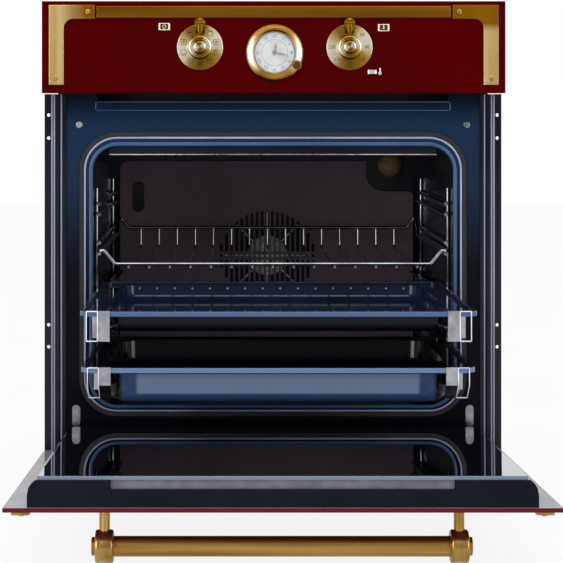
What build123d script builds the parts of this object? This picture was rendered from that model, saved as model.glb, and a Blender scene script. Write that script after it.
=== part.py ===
from build123d import *
import math
import os

# Built-in oven, seen from the front along +Y, +X to the right, +Z up.
# Lengths are in millimetres. While it is modelled, Y = 0 is the face of the front frame;
# save() then moves every piece so that the origin is the middle of the base's underside.

# Overall front
HALF_W = 297.5
TOP_Z = 595.0
PANEL_H = 118.0
PANEL_OUT = 41.5
SHEET = 2.0
GAP = 0.4
RUN = 0.05
EDGE_R = 1.5
PANEL_Z = TOP_Z - PANEL_H
PANEL_Y = -PANEL_OUT

# Cabinet body
BODY_INSET = 22.5
BODY_DROP = 7.0
BODY_BACK = 530.0
SHELL_T = 1.5
BODY_HALF = HALF_W - BODY_INSET
BODY_TOP = TOP_Z - BODY_DROP
BASE_MID_Y = BODY_BACK / 2
REAR_VENTS = 6
REAR_VENT_HALF = 90.0
REAR_VENT_DROP = 148.0
REAR_VENT_PITCH = 14.0
REAR_VENT_H = 5.0

# Terminal cover with the cable inlet
COVER_X = BODY_HALF - 75.0
COVER_HALF = 45.0
COVER_LOW = 60.0
COVER_HIGH = 130.0
COVER_OUT = 22.0
COVER_T = 3.0
COVER_R = 6.0
INLET_R = 6.0
INLET_OUT = 10.0
WIRE_HOLE_R = 8.0

# Front frame, its opening and the raised lip round it
FRAME_WING = 5.0
FRAME_LOW = 4.0
OPEN_INSET = 63.0
OPEN_LOW = 66.8
OPEN_DROP = 69.4
OPEN_R = 32.0
LIP_SIDE = 12.5
LIP_BELOW = 5.2
LIP_ABOVE = 13.8
LIP_H = 2.5
LIP_ROUND = 2.0
SEAL_W = 5.0
SEAL_H = 3.1
FRAME_HALF = BODY_HALF + FRAME_WING
OPEN_HALF = HALF_W - OPEN_INSET
OPEN_HIGH = PANEL_Z - OPEN_DROP
LIP_HALF = OPEN_HALF + LIP_SIDE
LIP_LOW = OPEN_LOW - LIP_BELOW
LIP_HIGH = OPEN_HIGH + LIP_ABOVE
LIP_R = OPEN_R + LIP_SIDE - EDGE_R / 3
PANEL_HOLE_HALF = 180.0
PANEL_HOLE_EDGE = 14.0

# Air outlet between the frame's top and the control panel
VENT_SIDE = 65.5
VENT_LOW = PANEL_Z - 9.4
VENT_HIGH = PANEL_Z - 1.1
VENT_HALF = HALF_W - VENT_SIDE
VENT_SLANT = 6.0
BEAD_LOW = PANEL_Z - 23.0
BEAD_HIGH = PANEL_Z - 10.4
BEAD_R = 3.0
DUCT_DEPTH = 68.0
DUCT_RISE = 7.0
DUCT_WALL = 1.5

# Cavity
CAV_SIDE = 0.5
CAV_FLOOR = 4.8
BACK_ROOM = 90.0
CAV_T = 1.2
CAV_R = 20.0
CAV_HALF = OPEN_HALF + CAV_SIDE
CAV_LOW = OPEN_LOW - CAV_FLOOR
CAV_HIGH = OPEN_HIGH + GAP
CAV_BACK = BODY_BACK - BACK_ROOM
SHIELD_H = 11.4
SHIELD_Y = 8.0
SHIELD_DEPTH = 18.0

# Back wall of the cavity with the fan's grille and the recess for the lamp
LINER_GAP = 14.0
LINER_T = 1.2
LINER_R = 14.0
LINER_Y = CAV_BACK - LINER_GAP
LINER_HALF = CAV_HALF - 12.0
LINER_TOP = CAV_HIGH - 30.0
LINER_LOW = CAV_LOW + 8.0
RECESS_W = 72.0
RECESS_H = 46.2
RECESS_R = 28.0
SHOULDER_R = 8.0
GROOVE_R = 114.8
GROOVE_W = 2.4
GROOVE_DEEP = 0.7
POCKET_X = 27.6
POCKET_DROP = 84.2
POCKET_W = 18.4
POCKET_H = 46.6
FAN_X = 1.0
FAN_RAISE = 9.8
FAN_Z = (LINER_TOP + LINER_LOW) / 2 + FAN_RAISE
GRILLE_R = 73.5
SLOT_PITCH = 7.75
SLOT_W = 4.6
SLOT_START = 6.0

# Fan, heating elements and lamp
FAN_R = 66.0
FAN_HUB_R = 11.0
FAN_DISC_R = 30.0
FAN_BLADES = 8
BLADE_T = 1.4
SHAFT_R = 4.0
MOTOR_R = 38.0
MOTOR_LEN = 58.0
RING_R = 92.0
RING_START = 98.0
RING_GAP_DEG = 16.0
ELEMENT_R = 3.2
ELEMENT_END_R = 4.0
GRILL_HALF = CAV_HALF - 85.0
GRILL_Z = CAV_HIGH - 7.0
GRILL_FRONT = 60.0
GRILL_BACK = LINER_Y - 66.0
GRILL_BEND = 18.0
LAMP_X = CAV_HALF - 45.0
LAMP_Z = CAV_HIGH - 36.0
LAMP_R = 20.0
LAMP_HOLE_R = 12.0

# Door, modelled shut and then opened about its axis
AXIS_Y = -25.0
AXIS_Z = 25.0
OPEN_DEG = 87.5
DOOR_LOW = 3.0
DOOR_TOP = PANEL_Z - 3.0
DOOR_PANEL_T = 5.0
DOOR_FACE = -3.5
GLASS_T = 4.0
LINE_HALF = HALF_W - 25.5
GLASS_HALF = LINE_HALF - 11.0
GLASS_LOW = 28.0
GLASS_TOP = DOOR_TOP - 6.0
BLOCK_TOP = GLASS_TOP + SHEET
PROFILE_W = 26.0
DOOR_SLOT_HALF = LINE_HALF - 88.0
DOOR_SLOT_Y = -17.5
DOOR_SLOT_DEEP = 14.0

# Door hinges
HINGE_X = BODY_HALF - 21.0
PIN_R = 4.0
PIN_HALF = 8.0
EAR_R = 8.0
EAR_T = 4.0
LUG_R = 7.0
LUG_HALF = 3.0
HINGE_SLOT = LUG_HALF + 0.6
PLATE_X = HINGE_X + 2.5
PLATE_Z = 56.5
PLATE_LEN = 18.0
PLATE_W = 11.0
BRACKET_DEPTH = 16.0

# Handle
POST_X = HALF_W - 105.5
HANDLE_Z = DOOR_TOP - 48.0
BAR_OUT = 43.5
BAR_R = 11.0
COLLAR_R = 17.9
COLLAR_W = 19.8
COLLAR_ROUND = 2.6
POST_R = 5.7
STUD_R = 3.0
CAP_R = 10.0
CAP_T = 3.9
CAP_SLOT = 3.0

# Ladders at the sides of the cavity; each level is a share of the cavity's height
LOWER_LEVEL, UPPER_LEVEL, SHELF_LEVEL, SPARE_LEVEL = 0.22543, 0.40751, 0.60694, 0.76
CAV_H = CAV_HIGH - CAV_LOW
LOWER_RAIL_Z = CAV_LOW + LOWER_LEVEL * CAV_H
UPPER_RAIL_Z = CAV_LOW + UPPER_LEVEL * CAV_H
SHELF_SIDE_Z = CAV_LOW + SHELF_LEVEL * CAV_H
SPARE_Z = CAV_LOW + SPARE_LEVEL * CAV_H
WIRE_R = 2.5
RUNG_STEP = 5.0
RUNG_FRONT = 20.0
RUNG_BACK = LINER_Y - 6.0
LADDER_FRONT = RUNG_FRONT + 20.0
LADDER_BACK = RUNG_BACK - 20.0
LADDER_LOW = LOWER_RAIL_Z - 32.0
LADDER_HIGH = SPARE_Z + 27.0
LADDER_X = CAV_HALF - WIRE_R

# Trays
UPPER_OUT = 300.0
LOWER_OUT = 282.0
UPPER_IN = 20.0
LOWER_IN = 100.0
TRAY_ROOM = 6.0
UPPER_LEN = LINER_Y - UPPER_IN - TRAY_ROOM
LOWER_LEN = LINER_Y - LOWER_IN - TRAY_ROOM
FLANGE_HALF = CAV_HALF - 5.5
FLANGE_R = 16.0
WALL_HALF = FLANGE_HALF - 26.0
WALL_SET = 14.0
WALL_TAPER = 6.0
UPPER_RIM = UPPER_RAIL_Z + 20.2
UPPER_DEEP = 25.0
UPPER_CORNER_R = 24.0
UPPER_BOTTOM_R = 12.0
LOWER_RIM = LOWER_RAIL_Z + 16.0
LOWER_DEEP = 44.0
LOWER_CORNER_R = 30.0
LOWER_BOTTOM_R = 20.0
RIM_H = 5.6
RIM_W = 5.6
RIM_ROUND = 1.6
TRAY_T = 1.4

# Telescopic rails under the trays
RAIL_X = LADDER_X - 7.3
RUNG_X = RAIL_X + WIRE_R
RAIL_WEB = 1.5
RAIL_HALF_H = 10.0
RAIL_LIP = 1.5
MID_W = 8.5
INNER_W = 6.4
FOOT_W = 13.6
FOOT_T = 1.2
FOOT_TOP = 1.0
SADDLE_LEN = 20.0
UPPER_FOOT_LOW = 14.0
LOWER_KNEE = 20.0
LOWER_FOOT_LOW = 38.0
LOWER_FOOT_RUN = 24.0
LOWER_RAIL_SET = 9.0
RAIL_END = RUNG_BACK - 12.0

# Wire shelf
SHELF_R = 2.6
CROSS_R = 1.6
SHELF_SIDE_X = RUNG_X - 0.9
SHELF_NECK_X = SHELF_SIDE_X - 7.3
SHELF_DIP_X = SHELF_NECK_X - 14.2
SHELF_DIP = 17.5
SHELF_BEND = 4.5
SHELF_FRONT = 0.0
SHELF_BACK = LINER_Y - 73.0
FENCE_X = SHELF_SIDE_X - 5.3
FENCE_RUN = 22.0
FENCE_RISE = 27.4
FENCE_DIP = 18.5
SHELF_Z = SHELF_SIDE_Z - SHELF_DIP
SHELF_WIRES = 15
CROSS_HALF = SHELF_DIP_X - 17.3
CROSS_BEND = 6.0

# Dials and knobs
DIAL_R = 29.6
DIAL_T = 2.0
DIAL_NOTCH = 5.3
DIAL_Z = PANEL_Z + 58.8
FUNCTION_X = -94.4
TEMP_X = 97.2
HUB_R = 15.9
HUB_H = 13.0
KNOB_CAP_R = 7.7
KNOB_CAP_H = 3.5
LEVER_R = 37.4
LEVER_LOW = 2.0
LEVER_HIGH = 7.0
KNOB_SHAFT_R = 3.0
KNOB_SHAFT_IN = 16.0
SWITCH_R = 20.0
THERMOSTAT_R = 22.0
SWITCH_LEN = 30.0

# Clock with its setter
CLOCK_X = 1.2
CLOCK_Z = PANEL_Z + 51.7
BEZEL_R = 37.0
BEZEL_H = 7.8
FACE_R = 27.2
CASE_R = 29.0
CASE_LEN = 24.0
HOUR_DEG = 8.4
MINUTE_DEG = 101.0
HAND_T = 0.6
HOUR_LIFT = 2.2
MINUTE_LIFT = 3.4
HOUR_TUBE_R = 1.9
MINUTE_PIN_R = 1.0
SETTER_X = CLOCK_X + 28.2
SETTER_Z = CLOCK_Z - 15.5
SETTER_R = 4.9
SETTER_CUP_R = 6.2
SETTER_PIN_R = 2.0
LENS_X = TEMP_X + 29.1
LENS_Z = PANEL_Z + 27.2
LENS_HALF = 5.4
LENS_H = 2.5

# Brass trim on the panel and the door
BADGE_T = 3.0
BADGE_OUT = HALF_W - 9.3
BADGE_W = 19.2
BADGE_ARM = 18.0
BADGE_TOP = TOP_Z - 5.0
BADGE_LOW = PANEL_Z + 10.5
BADGE_IN = BADGE_OUT - 58.9
BADGE_R = 12.5
BADGE_EDGE = 0.8
BAR_GAP = 2.0
BAR_LOW = TOP_Z - 21.8
BAR_HIGH = TOP_Z - 6.3
STRAP_TOP = DOOR_TOP - 2.0
STRAP_LOW = DOOR_TOP - 88.0
SCREW_R = 3.4
SCREW_H = 2.2
SCREW_IN = 10.0
FRAME_SCREW_X = BODY_HALF - 22.5
FRAME_SCREW_Z = PANEL_Z - 41.0
FRAME_SCREW_R = 4.6
STEM_R = 2.0

# Side trims with the fixing holes
TRIM_FACE = 2.6
TRIM_LOW = 12.0
TRIM_LEG = 12.0
FIX_X = HALF_W - 5.3
FIX_R = 2.25
FIX_Z = (146.9, 175.5, PANEL_Z - 58.2, PANEL_Z - 28.2)


def box(x0, x1, y0, y1, z0, z1):
    size = Box(x1 - x0, y1 - y0, z1 - z0)
    return Pos((x0 + x1) / 2, (y0 + y1) / 2, (z0 + z1) / 2) * size


def disc(x, z, radius, y0, y1):
    return Pos(x, (y0 + y1) / 2, z) * Rot(90, 0, 0) * Cylinder(radius, y1 - y0)


def rod_x(y, z, radius, x0, x1):
    return Pos((x0 + x1) / 2, y, z) * Rot(0, 90, 0) * Cylinder(radius, x1 - x0)


def rod_y(x, z, radius, y0, y1):
    return disc(x, z, radius, y0, y1)


def rod_z(x, y, radius, z0, z1):
    return Pos(x, y, (z0 + z1) / 2) * Cylinder(radius, z1 - z0)


def plate(outline, y0, y1):
    return extrude(Pos(0, y1, 0) * (Plane.XZ * outline), amount=y1 - y0)


def window(half, low, high, radius):
    return Pos(0, (low + high) / 2) * RectangleRounded(2 * half, high - low, radius)


def slot_up(x, z, length, width):
    return Pos(x, z) * SlotCenterToCenter(length, width, 90)


def wire(points, bend, radius=WIRE_R):
    path = FilletPolyline(*points, radius=bend)
    start = Plane(origin=path @ 0, z_dir=path % 0)
    return sweep(start * Circle(radius), path)


def round_front(piece, radius):
    return fillet(piece.edges().group_by(Axis.Y)[0], radius)


def both_sides(piece):
    return piece + mirror(piece, about=Plane.YZ)


def save(name, piece):
    export_step(Pos(0, -BASE_MID_Y, 0) * piece, f"parts/{name}.step")


def open_door(piece):
    turn = Pos(0, AXIS_Y, AXIS_Z) * Rot(OPEN_DEG, 0, 0) * Pos(0, -AXIS_Y, -AXIS_Z)
    return turn * piece


# Cabinet body


def cabinet_shell():
    outside = box(-BODY_HALF, BODY_HALF, SHEET, BODY_BACK, 0, BODY_TOP)
    inner = BODY_HALF - SHELL_T
    return outside - box(-inner, inner, SHEET, BODY_BACK, SHELL_T, BODY_TOP - SHELL_T)


def rear_cover():
    back = BODY_BACK + SHELL_T
    cover = box(-BODY_HALF, BODY_HALF, BODY_BACK, back, 0, BODY_TOP)
    for row in range(REAR_VENTS):
        z = BODY_TOP - REAR_VENT_DROP + row * REAR_VENT_PITCH
        cover -= box(-REAR_VENT_HALF, REAR_VENT_HALF, BODY_BACK, back, z, z + REAR_VENT_H)
    return cover - disc(COVER_X, (COVER_LOW + COVER_HIGH) / 2, WIRE_HOLE_R, BODY_BACK, back)


def terminal_cover():
    low = BODY_BACK + SHELL_T
    left, right = COVER_X - COVER_HALF, COVER_X + COVER_HALF
    cover = box(left, right, low, low + COVER_OUT, COVER_LOW, COVER_HIGH)
    cover = fillet(cover.edges().filter_by(Axis.Y), COVER_R)
    bottom, top = COVER_LOW + COVER_T, COVER_HIGH - COVER_T
    room = box(left + COVER_T, right - COVER_T, low, low + COVER_OUT - COVER_T, bottom, top)
    inlet = rod_z(COVER_X, low + INLET_OUT, INLET_R, COVER_LOW, COVER_LOW + COVER_T)
    return cover - room - inlet


def front_frame():
    sheet = box(-FRAME_HALF, FRAME_HALF, 0, SHEET, FRAME_LOW, PANEL_Z)
    sheet += box(-HALF_W, HALF_W, 0, SHEET, PANEL_Z, TOP_Z)
    sheet += plate(window(LIP_HALF, LIP_LOW, LIP_HIGH, LIP_R), -LIP_H, 0)
    sheet -= plate(window(OPEN_HALF, OPEN_LOW, OPEN_HIGH, OPEN_R), -LIP_H, SHEET)
    sheet = round_front(sheet, LIP_ROUND)
    sheet += plate(window(VENT_HALF, BEAD_LOW, BEAD_HIGH, BEAD_R), -EDGE_R, 0)
    slot = Polyline(
        (-VENT_HALF, VENT_HIGH),
        (VENT_HALF, VENT_HIGH),
        (VENT_HALF - VENT_SLANT, VENT_LOW),
        (VENT_SLANT - VENT_HALF, VENT_LOW),
        close=True,
    )
    sheet -= plate(make_face(slot), 0, SHEET)
    for side in (-1, 1):
        sheet -= plate(slot_up(side * PLATE_X, PLATE_Z, PLATE_LEN, PLATE_W), 0, SHEET)
        x = side * HINGE_X
        sheet -= box(x - HINGE_SLOT, x + HINGE_SLOT, 0, SHEET, AXIS_Z - 9.5, AXIS_Z + 3.5)
        sheet -= disc(side * FRAME_SCREW_X, FRAME_SCREW_Z, STEM_R, 0, SHEET)
    low, high = PANEL_Z + PANEL_HOLE_EDGE, TOP_Z - PANEL_HOLE_EDGE
    return sheet - box(-PANEL_HOLE_HALF, PANEL_HOLE_HALF, 0, SHEET, low, high)


def door_gasket():
    outside = window(LIP_HALF + SEAL_W, LIP_LOW - SEAL_W, LIP_HIGH + SEAL_W, LIP_R + SEAL_W)
    return plate(outside, -SEAL_H, 0) - plate(window(LIP_HALF, LIP_LOW, LIP_HIGH, LIP_R), -SEAL_H, 0)


def ring_end(number):
    turn = math.radians(RING_START - number * RING_GAP_DEG)
    return FAN_X + RING_R * math.cos(turn), FAN_Z + RING_R * math.sin(turn)


def cavity_liner():
    out, back = CAV_HALF + CAV_T, CAV_BACK + CAV_T
    shell = plate(window(out, CAV_LOW - CAV_T, CAV_HIGH + CAV_T, CAV_R + CAV_T), SHEET, back)
    shell -= plate(window(CAV_HALF, CAV_LOW, CAV_HIGH, CAV_R), SHEET, CAV_BACK)
    shell -= disc(FAN_X, FAN_Z, SHAFT_R + SHEET, CAV_BACK, back)
    shell -= disc(LAMP_X, LAMP_Z, LAMP_HOLE_R, CAV_BACK, back)
    for number in (0, 1):
        shell -= disc(*ring_end(number), ELEMENT_END_R, CAV_BACK, back)
    for x in (-GRILL_HALF, GRILL_HALF):
        shell -= disc(x, GRILL_Z, ELEMENT_R, CAV_BACK, back)
    return shell


def grill_shield():
    half = CAV_HALF - CAV_R - 1
    front = box(-half, half, SHIELD_Y, SHIELD_Y + CAV_T, CAV_HIGH - SHIELD_H, CAV_HIGH)
    return front + box(-half, half, SHIELD_Y + CAV_T, SHIELD_Y + SHIELD_DEPTH, CAV_HIGH - CAV_T, CAV_HIGH)


def liner_outline():
    outline = window(LINER_HALF, LINER_LOW, LINER_TOP, LINER_R)
    low = LINER_TOP - RECESS_H
    far = 2 * RECESS_R
    middle = (LINER_HALF - RECESS_W / 2 + far / 2, LINER_TOP - RECESS_H / 2 + far / 2)
    outline -= Pos(*middle) * RectangleRounded(RECESS_W + far, RECESS_H + far, RECESS_R)
    shoulder = outline.vertices().sort_by(lambda v: (v.X - LINER_HALF) ** 2 + (v.Y - low) ** 2)[0]
    return fillet(shoulder, SHOULDER_R)


def back_liner():
    front, back = LINER_Y, LINER_Y + LINER_T
    outline = liner_outline()
    sheet = plate(outline, front, CAV_BACK) - plate(offset(outline, amount=-LINER_T), back, CAV_BACK)
    groove = Pos(FAN_X, FAN_Z) * (Circle(GROOVE_R) - Circle(GROOVE_R - GROOVE_W))
    sheet -= plate(groove, front, front + GROOVE_DEEP)
    sheet -= plate(grille_slots(), front, back)
    pocket = slot_up(POCKET_X - LINER_HALF, CAV_HIGH - POCKET_DROP, POCKET_H - POCKET_W, POCKET_W)
    return sheet - plate(pocket, front, back)


def grille_slots():
    slots = Sketch()
    count = int(GRILLE_R / SLOT_PITCH)
    for column in range(-count, count + 1):
        x = column * SLOT_PITCH
        slots += Pos(FAN_X + x, FAN_Z) * Circle(SLOT_W / 2)
        length = math.sqrt(GRILLE_R**2 - x**2) - SLOT_START - SLOT_W
        if length > SLOT_W:
            middle = SLOT_START + length / 2
            for side in (-1, 1):
                slots += slot_up(FAN_X + x, FAN_Z + side * middle, length - SLOT_W, SLOT_W)
    return slots


def fan_motor():
    start = CAV_BACK + CAV_T
    body = disc(FAN_X, FAN_Z, MOTOR_R, start, start + MOTOR_LEN)
    body = fillet(body.edges().group_by(Axis.Y)[-1], MOTOR_R / 6)
    return body - disc(FAN_X, FAN_Z, SHAFT_R + RUN, start, start + MOTOR_LEN / 2)


def convection_fan():
    front, back = LINER_Y + 3.0, CAV_BACK - 2.5
    fan = disc(FAN_X, FAN_Z, FAN_HUB_R, front, back)
    fan += disc(FAN_X, FAN_Z, FAN_DISC_R, back - 2 * BLADE_T, back - BLADE_T)
    root, half = FAN_X + FAN_HUB_R - 3, BLADE_T / 2
    blade = box(root, FAN_X + FAN_R, front + GAP, back - GAP, FAN_Z - half, FAN_Z + half)
    around = Axis((FAN_X, 0, FAN_Z), (0, 1, 0))
    for step in range(FAN_BLADES):
        fan += blade.rotate(around, step * 360 / FAN_BLADES)
    return fan + disc(FAN_X, FAN_Z, SHAFT_R, back, CAV_BACK + MOTOR_LEN / 2 - SHEET)


def ring_element():
    y = CAV_BACK - LINER_GAP / 2
    plane = Plane(origin=(FAN_X, y, FAN_Z), x_dir=(1, 0, 0), z_dir=(0, -1, 0))
    path = plane * CenterArc((0, 0), RING_R, RING_START, 360 - RING_GAP_DEG)
    ring = sweep(Plane(origin=path @ 0, z_dir=path % 0) * Circle(ELEMENT_R), path)
    for number in (0, 1):
        ring += disc(*ring_end(number), ELEMENT_END_R, y - ELEMENT_END_R, CAV_BACK + LINER_GAP)
    return ring


def grill_element():
    outer, middle, inner = GRILL_HALF, GRILL_HALF * 3 / 5, GRILL_HALF / 5
    near, far, z = GRILL_FRONT, GRILL_BACK, GRILL_Z
    path = [(-outer, CAV_BACK + LINER_GAP, z), (-outer, near, z), (-middle, near, z)]
    path += [(-middle, far, z), (-inner, far, z), (-inner, near, z)]
    back = [(-x, y, z) for x, y, z in reversed(path)]
    tube = wire(path + back, GRILL_BEND, ELEMENT_R)
    y = (near + far) / 2
    for side in (-1, 1):
        x = side * (middle + inner) / 2
        reach = (middle - inner) / 2 + SHAFT_R * 2
        tube += box(x - reach, x + reach, y - ELEMENT_R, y + ELEMENT_R, z - 1, z + 1)
        tube += box(x - SHAFT_R, x + SHAFT_R, y - ELEMENT_R, y + ELEMENT_R, z, CAV_HIGH)
    return tube


def lamp_holder():
    start = CAV_BACK + CAV_T
    flange = disc(LAMP_X, LAMP_Z, LAMP_R + SHAFT_R, start, start + 3)
    barrel = disc(LAMP_X, LAMP_Z, LAMP_R - SHAFT_R, start + 3, start + 46)
    return flange + barrel - disc(LAMP_X, LAMP_Z, LAMP_HOLE_R, start, start + 30)


def lamp_glass():
    front, wall = LINER_Y - 6, LAMP_R - 3
    half = [(0, front), (8, front + 0.8), (14, front + 3.5), (18, front + 8.5), (LAMP_R, front + 15)]
    half += [(LAMP_R, CAV_BACK), (wall, CAV_BACK), (wall, front + 16), (15, front + 10)]
    half += [(11, front + 6), (6, front + 3.8), (0, front + 3)]
    outline = make_face(Plane.XY * Polyline(*half, close=True))
    return Pos(LAMP_X, 0, LAMP_Z) * revolve(outline, Axis.Y)


def side_rack():
    under_shelf = SHELF_SIDE_Z - SHELF_R - WIRE_R - 0.3
    rungs = [LOWER_RAIL_Z - RUNG_STEP, LOWER_RAIL_Z + RUNG_STEP, UPPER_RAIL_Z - RUNG_STEP]
    rungs += [UPPER_RAIL_Z + RUNG_STEP, under_shelf, under_shelf + 14, SPARE_Z - 7, SPARE_Z + 7]
    rack = rod_z(LADDER_X, LADDER_FRONT, WIRE_R, LADDER_LOW, LADDER_HIGH)
    rack += rod_z(LADDER_X, LADDER_BACK, WIRE_R, LADDER_LOW, LADDER_HIGH)
    for z in rungs:
        rack += rod_y(RUNG_X, z, WIRE_R, RUNG_FRONT, RUNG_BACK)
    return rack


def side_trim():
    low, valley = BODY_HALF - FRAME_WING, -1.0
    outer = HALF_W
    section = Polyline(
        (low, 0),
        (low, -TRIM_FACE),
        (low + 4, -TRIM_FACE),
        (low + 5, valley),
        (low + 8, valley),
        (low + 9, -TRIM_FACE),
        (outer - 14.5, -TRIM_FACE),
        (outer - 13.5, valley),
        (outer - 11.5, valley),
        (outer - 10.5, -TRIM_FACE),
        (outer, -TRIM_FACE),
        (outer, TRIM_LEG),
        (outer - SHEET, TRIM_LEG),
        (outer - SHEET, 0),
        close=True,
    )
    strip = Pos(0, 0, TRIM_LOW) * extrude(make_face(section), amount=PANEL_Z - 1 - TRIM_LOW)
    for z in FIX_Z:
        strip -= disc(FIX_X, z, FIX_R, -TRIM_FACE, 0)
    return strip


def hinge_brackets():
    low, high = HINGE_X - LUG_HALF, HINGE_X + LUG_HALF
    lug = rod_x(AXIS_Y, AXIS_Z, LUG_R, low, high)
    lug += box(low, high, AXIS_Y, SHEET, AXIS_Z - 8, AXIS_Z + 2)
    lug += box(low - 4, high + 9, SHEET, BRACKET_DEPTH, TRIM_LOW, PLATE_Z + 25.5)
    lug += plate(slot_up(PLATE_X, PLATE_Z, PLATE_LEN, PLATE_W - 1), 0.6, SHEET)
    lug -= rod_x(AXIS_Y, AXIS_Z, PIN_R + RUN, low, high)
    web = box(high + 9, BODY_HALF - SHELL_T, SHEET, BRACKET_DEPTH, TRIM_LOW + PLATE_LEN, PLATE_Z + 13.5)
    return both_sides(lug + web)


def air_outlet():
    half, low, high = VENT_HALF + 8, VENT_LOW - 6.6, VENT_HIGH + DUCT_RISE
    duct = box(-half, half, SHEET, SHEET + DUCT_DEPTH, low, high)
    side, end = half - DUCT_WALL, SHEET + DUCT_DEPTH - DUCT_WALL
    return duct - box(-side, side, SHEET, end, low + DUCT_WALL, high - DUCT_WALL)


# Control panel


def control_panel():
    panel = round_front(box(-HALF_W, HALF_W, PANEL_Y, 0, PANEL_Z, TOP_Z), EDGE_R)
    back = PANEL_Y + SHEET
    panel -= box(-HALF_W + SHEET, HALF_W - SHEET, back, 0, PANEL_Z + SHEET, TOP_Z - SHEET)
    for x in (FUNCTION_X, TEMP_X):
        panel -= disc(x, DIAL_Z, KNOB_SHAFT_R + 1, PANEL_Y, back)
    panel -= disc(CLOCK_X, CLOCK_Z, CASE_R, PANEL_Y, back)
    panel -= disc(SETTER_X, SETTER_Z, SETTER_PIN_R + GAP, PANEL_Y, back)
    low, high = LENS_Z - LENS_H, LENS_Z + LENS_H
    return panel - box(LENS_X - LENS_HALF, LENS_X + LENS_HALF, PANEL_Y, back, low, high)


def trim_bar():
    half = BADGE_IN - BAR_GAP
    return round_front(box(-half, half, PANEL_Y - BADGE_T, PANEL_Y, BAR_LOW, BAR_HIGH), 1.0)


def corner_bracket():
    inside, below = BADGE_OUT - BADGE_W, BADGE_TOP - BADGE_ARM
    leg = make_face(
        Polyline(
            (BADGE_OUT, BADGE_LOW),
            (BADGE_OUT, BADGE_TOP),
            (BADGE_IN, BADGE_TOP),
            (BADGE_IN, below),
            (inside, below),
            (inside, BADGE_LOW),
            close=True,
        )
    )
    inner = leg.vertices().sort_by(lambda v: (v.X - inside) ** 2 + (v.Y - below) ** 2)[0]
    leg = fillet(inner, BADGE_R)
    return round_front(plate(leg, PANEL_Y - BADGE_T, PANEL_Y), BADGE_EDGE)


def screw_head(x, z, y, radius):
    head = round_front(disc(x, z, radius, y - SCREW_H, y), 1.4)
    return head - box(x - radius, x + radius, y - SCREW_H, y - SCREW_H + 0.9, z - 0.5, z + 0.5)


def panel_screws():
    y = PANEL_Y - BADGE_T
    low = screw_head(BADGE_OUT - 8.2, BADGE_LOW + 8.9, y, SCREW_R)
    high = screw_head(BADGE_IN + 8.5, TOP_Z - 14, y, SCREW_R)
    return both_sides(low) + both_sides(high)


def frame_screws():
    head = screw_head(FRAME_SCREW_X, FRAME_SCREW_Z, 0, FRAME_SCREW_R)
    return both_sides(head + disc(FRAME_SCREW_X, FRAME_SCREW_Z, STEM_R, 0, 4 * SHEET))


def dial(x):
    front = PANEL_Y - DIAL_T
    face = round_front(disc(x, DIAL_Z, DIAL_R, front, PANEL_Y), BADGE_EDGE)
    face -= box(x - DIAL_NOTCH, x + DIAL_NOTCH, front, PANEL_Y, DIAL_Z + HUB_R + 2, DIAL_Z + DIAL_R + 2)
    return face - disc(x, DIAL_Z, KNOB_SHAFT_R + 1, front, PANEL_Y)


def lever_outline():
    half = [(4.4, 10.0), (2.3, 15.0), (2.3, 18.0), (6.9, LEVER_R - 6.9)]
    half += [(6.6, LEVER_R - 3.9), (2.65, LEVER_R)]
    other = [(-x, z) for x, z in reversed(half)]
    return make_face(Polyline(*half, *other, close=True))


def knob(x):
    back = PANEL_Y - DIAL_T - GAP
    hub = round_front(disc(x, DIAL_Z, HUB_R, back - HUB_H, back), HUB_R / 4.5)
    cap = disc(x, DIAL_Z, KNOB_CAP_R, back - HUB_H - KNOB_CAP_H, back - HUB_H)
    cap = round_front(cap, KNOB_CAP_R / 4)
    lever = plate(Pos(x, DIAL_Z) * lever_outline(), back - LEVER_HIGH, back - LEVER_LOW)
    lever = round_front(lever, BADGE_EDGE)
    return hub + cap + lever + disc(x, DIAL_Z, KNOB_SHAFT_R, back, PANEL_Y + SHEET + KNOB_SHAFT_IN)


def selector(x, radius):
    start = PANEL_Y + SHEET
    body = disc(x, DIAL_Z, radius, start, start + SWITCH_LEN)
    body -= disc(x, DIAL_Z, KNOB_SHAFT_R + RUN, start, start + KNOB_SHAFT_IN + SHEET)
    low = DIAL_Z - radius
    return body + box(x - 6, x + 6, start, start + SWITCH_LEN - 6, low - 9, low + 2)


def clock_case():
    case = disc(CLOCK_X, CLOCK_Z, CASE_R, PANEL_Y, PANEL_Y + CASE_LEN)
    return case - disc(CLOCK_X, CLOCK_Z, HOUR_TUBE_R + RUN, PANEL_Y, PANEL_Y + CASE_LEN / 2)


def clock_face():
    face = disc(CLOCK_X, CLOCK_Z, FACE_R, PANEL_Y - 1, PANEL_Y)
    return face - disc(CLOCK_X, CLOCK_Z, HOUR_TUBE_R + RUN, PANEL_Y - 1, PANEL_Y)


def clock_bezel():
    wall = BEZEL_R - FACE_R
    steps = [(0, 0), (0, 0.7), (0.22, 0.92), (0.47, 1), (0.72, 0.92), (0.91, 0.69), (1, 0.38), (1, 0)]
    outline = make_face(Polyline(*[(FACE_R + r * wall, -h * BEZEL_H) for r, h in steps], close=True))
    ring = Pos(CLOCK_X, PANEL_Y, CLOCK_Z) * revolve(outline, Axis.Y)
    cup = PANEL_Y - BEZEL_H - EDGE_R
    ring += disc(SETTER_X, SETTER_Z, SETTER_CUP_R, cup, PANEL_Y)
    ring -= disc(CLOCK_X, CLOCK_Z, FACE_R, cup - 1, PANEL_Y)
    ring -= disc(SETTER_X, SETTER_Z, SETTER_R + GAP, cup, cup + 3)
    return ring - disc(SETTER_X, SETTER_Z, SETTER_PIN_R + RUN, cup, PANEL_Y)


def clock_glass():
    return disc(CLOCK_X, CLOCK_Z, FACE_R, PANEL_Y - 5.5, PANEL_Y - 4.7)


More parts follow.
